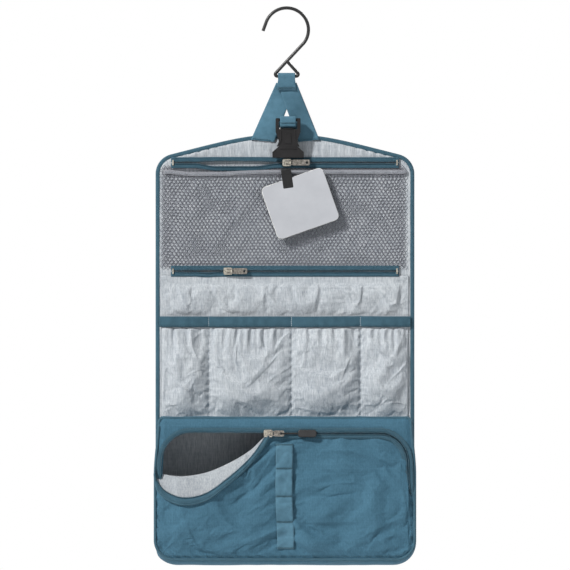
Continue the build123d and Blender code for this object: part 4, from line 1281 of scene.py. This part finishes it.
# Side views of the webbing (y, z).
TAB_PROFILE = (
    (-6.4, 448), (-6.4, 455), (-6.5, 461.5), (-8.6, 465.5), (-10.3, 470), (-10.9, 476),
    (-12.4, 481.5), (-14.0, 484.0), (-16.4, 484.6), (-18.9, 483.2), (-19.4, 480), (-19.2, 476.5),
    (-18.2, 474.0), (-16.0, 473.0), (-13.6, 473.8), (-12.0, 475.8))
STRAP_PROFILE = (
    (1.3, 8.5), (1.3, 20), (1.3, 24), (1.3, 50), (1.3, 86), (1.35, 90.5), (2.0, 94.6),
    (3.2, 100.4), (5.2, 100.9), (7.3, 99.4), (7.5, 96.4), (5.6, 94.4), (3.6, 93.2), (2.6, 88),
    (2.5, 76))


def buckle_relief():
    face_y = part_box("buckle_socket")[0][1] / MM
    for name, corners in RELIEF.items():
        bm = bmesh.new()
        face = bm.faces.new([
            bm.verts.new(((BUCKLE_X + x) * MM, (face_y + 0.3) * MM, z * MM)) for x, z in corners])
        for part in bmesh.ops.extrude_face_region(bm, geom=[face])["geom"]:
            if isinstance(part, bmesh.types.BMVert):
                part.co.y = (face_y - 0.75) * MM
        bmesh.ops.recalc_face_normals(bm, faces=bm.faces)
        piece = bmesh_object(f"buckle_{name}", bm, BUCKLE)
        bevel = piece.modifiers.new("edge", "BEVEL")
        bevel.width = 0.35 * MM
        bevel.segments = 3
        place(piece, "socket", "buckle_plastic")


def ribbon(name, profile, centre_x, half, thickness):
    curve = catmull(profile, 8)
    across = np.linspace(-1, 1, 14)[:, None]
    grid = points(centre_x + across * half, curve[:, 0] - 0.1 * (1 - across ** 2), curve[:, 1])
    return sheet(name, grid, WEBBING, thickness)


buckle_relief()
place(ribbon("buckle_tab_webbing", TAB_PROFILE, BUCKLE_X, half=8.6, thickness=0.95), "flap",
      "webbing", "buckle_tab")
stitch("buckle_tab_tack", across_line(BUCKLE_X, 7.8, -19.85, 477.5, 18), "flap",
       size=(1.8, 0.5, 0.35), pitch=0.8, across=True)
place(ribbon("closing_strap", STRAP_PROFILE, 0, half=9.5, thickness=1.0), STRAP_BLEND,
      "webbing", "plug_strap", "plug_anchor")
for number, (y, z, body) in enumerate(((1.95, 11.0, "body"), (1.95, 17.0, "body"),
                                       (3.15, 80.0, "plug_strap")), 1):
    stitch(f"closing_strap_tack_{number}", across_line(0, 8.6, y, z, 18), body,
           size=(1.9, 0.5, 0.45), pitch=0.8, up=BACKWARD, across=True)

# ---------------------------------------------------------------- CAD pieces that stay
CAD_MATERIALS = (
    (HOOK, ("hook",)),
    (BUCKLE, ("buckle_socket", "buckle_plug", "plug_arm_left", "plug_arm_right")),
    (GRIP, ("cord_grip", "mirror_snap")),
    (BLACK_WEBBING, ("pull_cord", "mirror_strap")),
    (BACKING, ("mirror_back",)),
    (MIRROR, ("mirror_face",)),
    (FOAM, ("back_padding", "flap_padding")),
    (BOARD, ("base_board",)),
    (ZIP_METAL, ("mesh_slider", "mesh_zip_stops", "flat_slider", "flat_zip_stops",
                 "main_slider")),
    (PULL, ("mesh_pull", "flat_pull", "main_pull")))
SMOOTH = ("hook", "pull_cord")
FLAT = ("buckle_socket", "buckle_plug", "plug_arm_left", "plug_arm_right", "cord_grip",
        "mirror_face", "mirror_back", "mesh_slider", "mesh_pull", "flat_slider", "flat_pull",
        "main_slider", "main_pull")

for material, names in CAD_MATERIALS:
    for name in names:
        NODES[name].data.materials.clear()
        NODES[name].data.materials.append(material)
for name in SMOOTH + FLAT:
    for polygon in NODES[name].data.polygons:
        polygon.use_smooth = name in SMOOTH


# ---------------------------------------------------------------- stage, light, camera (metres)
def floor():
    pale = Shader("stage_pale", Base_Color=grey(0.86), Roughness=0.9).material
    bm = bmesh.new()
    bmesh.ops.create_circle(bm, cap_ends=True, radius=1.9, segments=96)
    piece = bmesh_object("stage_floor", bm, pale)
    piece.location = (0, 0, -0.42)


def studio():
    """White to the camera, bright in reflections, dim as ambient light."""
    world = bpy.data.worlds.new("studio")
    bpy.context.scene.world = world
    world.use_nodes = True
    tree = world.node_tree
    tree.nodes.clear()
    ambient, camera, glossy = [
        add_node(tree, "Background", {"Color": color, "Strength": strength}).outputs[0]
        for color, strength in (((0.96, 0.98, 1.0), 0.33), ((1, 1, 1), 1.0),
                                ((0.98, 0.99, 1.0), 0.95))]
    ray = add_node(tree, "LightPath").outputs
    lit = add_node(tree, "MixShader", {0: ray["Is Glossy Ray"], 1: ambient, 2: glossy})
    seen = add_node(tree, "MixShader", {0: ray["Is Camera Ray"], 1: lit.outputs[0], 2: camera})
    add_node(tree, "OutputWorld", {0: seen.outputs[0]})


def lamp(name, kind, location, energy, color, **spread):
    """A light aimed at the middle of the bag."""
    light = bpy.data.lights.new(name, kind)
    light.energy = energy
    light.color = color
    for key, value in spread.items():
        setattr(light, key, value)
    holder = bpy.data.objects.new(name, light)
    holder.location = location
    holder.rotation_mode = "QUATERNION"
    aim = Vector((0, 0, 0.3)) - Vector(location)
    holder.rotation_quaternion = aim.to_track_quat("-Z", "Y")
    bpy.context.scene.collection.objects.link(holder)


def front_camera():
    """A long lens from straight in front."""
    view_width, height = 621.3 * MM, 301.93 * MM
    lens = bpy.data.cameras.new("camera")
    camera = bpy.data.objects.new("camera", lens)
    bpy.context.scene.collection.objects.link(camera)
    lens.sensor_width = 36
    lens.lens = 200
    camera.location = (0.0, -view_width * 200 / 36, height)
    camera.rotation_euler = (math.radians(90), 0, 0)
    bpy.context.scene.camera = camera


floor()
studio()
lamp("key", "SUN", (-1.9, -1.75, 2.15), energy=4.1, color=(1, 0.985, 0.955),
     angle=math.radians(5))
lamp("fill", "AREA", (1.6, -2.4, 0.5), energy=5, color=(0.95, 0.98, 1), size=1.8)
lamp("rear", "SUN", (1.4, 2.4, 1.6), energy=1.5, color=(0.97, 0.99, 1), angle=math.radians(14))
front_camera()
bpy.context.scene.view_settings.view_transform = "Standard"
bpy.context.scene.view_settings.look = "None"
